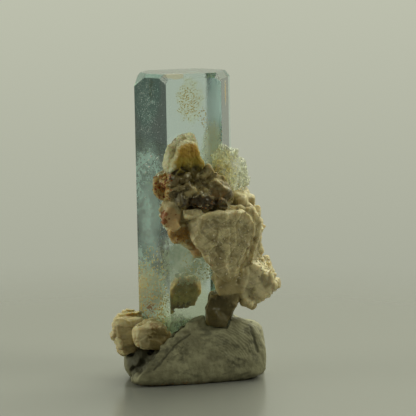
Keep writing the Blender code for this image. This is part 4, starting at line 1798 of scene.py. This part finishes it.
def grain_sets() -> tuple[Grains, ...]:
    """Lists the loose grains on the crystal and in the rocks.

    Returns:
        The grain pieces.
    """
    flake = GrainFinish("fracture_grain", (1.0, 1.0, 0.98), (0.92, 0.97, 0.96), 0.3)
    iron = GrainFinish("iron_grain", (0.42, 0.20, 0.04), (0.22, 0.06, 0.02), 0.6)
    crumb = GrainFinish("pale_grain", (0.72, 0.64, 0.44), (0.52, 0.42, 0.26), 0.5)
    glassy = GrainFinish("glassy_grain", (0.60, 0.52, 0.34), (0.36, 0.28, 0.14), 0.2, 0.2)
    return (
        Grains("iron_grains_on_crystal", "clear_crystal", (
            Sprinkle(Zone((-0.9, -4.5, 42.0), (1.7, 1.5, 2.6)), 70, 0.06, 0.16),
            Sprinkle(Zone((1.4, -3.8, 39.2), (1.2, 1.5, 1.8)), 16, 0.06, 0.15),
            Sprinkle(Zone((-4.4, -5.0, 28.0), (1.6, 1.6, 4.5)), 90, 0.12, 0.45),
            Sprinkle(Zone((-6.6, -3.4, 11.5), (2.2, 3.0, 3.2)), 40, 0.08, 0.3),
            Sprinkle(Zone((1.2, -3.8, 17.6), (2.6, 1.5, 1.6)), 40, 0.08, 0.25),
        ), iron, Slot.AQUAMARINE, 51),
        Grains("white_flakes_on_crystal", "clear_crystal", (
            Sprinkle(Zone((-6.1, -3.84, 33.0), (1.1, 1.5, 2.1)), 70, 0.12, 0.6, 0.15),
            Sprinkle(Zone((-7.2, -3.0, 31.7), (1.0, 1.5, 2.0)), 55, 0.12, 0.55, 0.15),
            Sprinkle(Zone((-7.6, -2.6, 28.0), (2.0, 1.5, 1.0)), 60, 0.12, 0.7, 0.15),
            Sprinkle(Zone((-8.3, -1.9, 19.0), (0.7, 1.2, 0.6)), 14, 0.2, 0.7, 0.15),
            Sprinkle(Zone((-6.9, -3.2, 31.0), (3.2, 3.0, 15.0)), 170, 0.05, 0.13, 0.3),
            Sprinkle(Zone((-1.0, -4.6, 24.0), (4.0, 2.0, 14.0)), 70, 0.05, 0.13, 0.3),
        ), flake, Slot.AQUAMARINE, 57),
        Grains("dust_on_putty", "putty_lump", (
            Sprinkle(Zone((0.0, -9.0, 0.3), (10.0, 2.6, 0.7)), 70, 0.08, 0.24),
        ), iron, Slot.PUTTY, 58),
        Grains("iron_grains_on_rock", "feldspar_mass", (
            Sprinkle(Zone((-4.2, -8.5, 25.0), (1.8, 3.0, 2.4)), 50, 0.12, 0.4),
            Sprinkle(Zone((-1.5, -8.0, 22.0), (3.6, 3.0, 2.4)), 60, 0.1, 0.3),
        ), iron, Slot.FELDSPAR, 52),
        Grains("iron_grains_on_quartz", "smoky_cluster", (
            Sprinkle(Zone((-4.9, -8.5, 29.8), (2.2, 3.5, 3.6)), 120, 0.14, 0.5),
            Sprinkle(Zone((1.5, -9.0, 27.2), (4.0, 3.0, 1.6)), 40, 0.1, 0.35),
        ), iron, Slot.SMOKY, 53),
        Grains("pale_grains_on_rock", "feldspar_mass", (
            Sprinkle(Zone((4.0, -7.0, 21.0), (9.0, 6.0, 9.0)), 260, 0.12, 0.5),
            Sprinkle(Zone((9.0, -2.0, 15.0), (5.0, 6.0, 5.0)), 120, 0.12, 0.5),
        ), crumb, Slot.FELDSPAR, 54),
        Grains("glassy_grains_on_quartz", "smoky_cluster", (
            Sprinkle(Zone((0.0, -8.5, 29.5), (6.0, 4.0, 4.0)), 60, 0.2, 0.8),
        ), glassy, Slot.SMOKY, 55),
        Grains("pale_grains_on_knob", "stained_knob", (
            Sprinkle(Zone((-2.6, -6.4, 36.0), (2.8, 3.0, 2.0)), 150, 0.12, 0.35),
        ), crumb, Slot.STAINED, 56),
    )


PACKED_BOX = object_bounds()
WHOLE_BOX = (PACKED_BOX[0] / MM, PACKED_BOX[1] / MM)


def main() -> None:
    """Builds the studio and every piece of the specimen, and reports each one."""
    logging.basicConfig(level=logging.INFO, format="%(message)s")
    bpy.context.scene.view_settings.view_transform = "Standard"
    Studio().build()
    pieces = [Prism().build()]
    rocks = (matrix_rock(), foot_rock(), back_rock(), smoky_rock(), stained_rock(), putty_lump())
    pieces.extend(rock.build() for rock in rocks)
    pieces.extend(BerylCrust().build())
    pieces.append(InnerFractures(fracture_veils()).build())
    pieces.extend(grains.build() for grains in grain_sets())
    for piece in pieces:
        log.info("%s: %d faces", piece.name, len(piece.data.polygons))


if __name__ == "__main__":
    main()
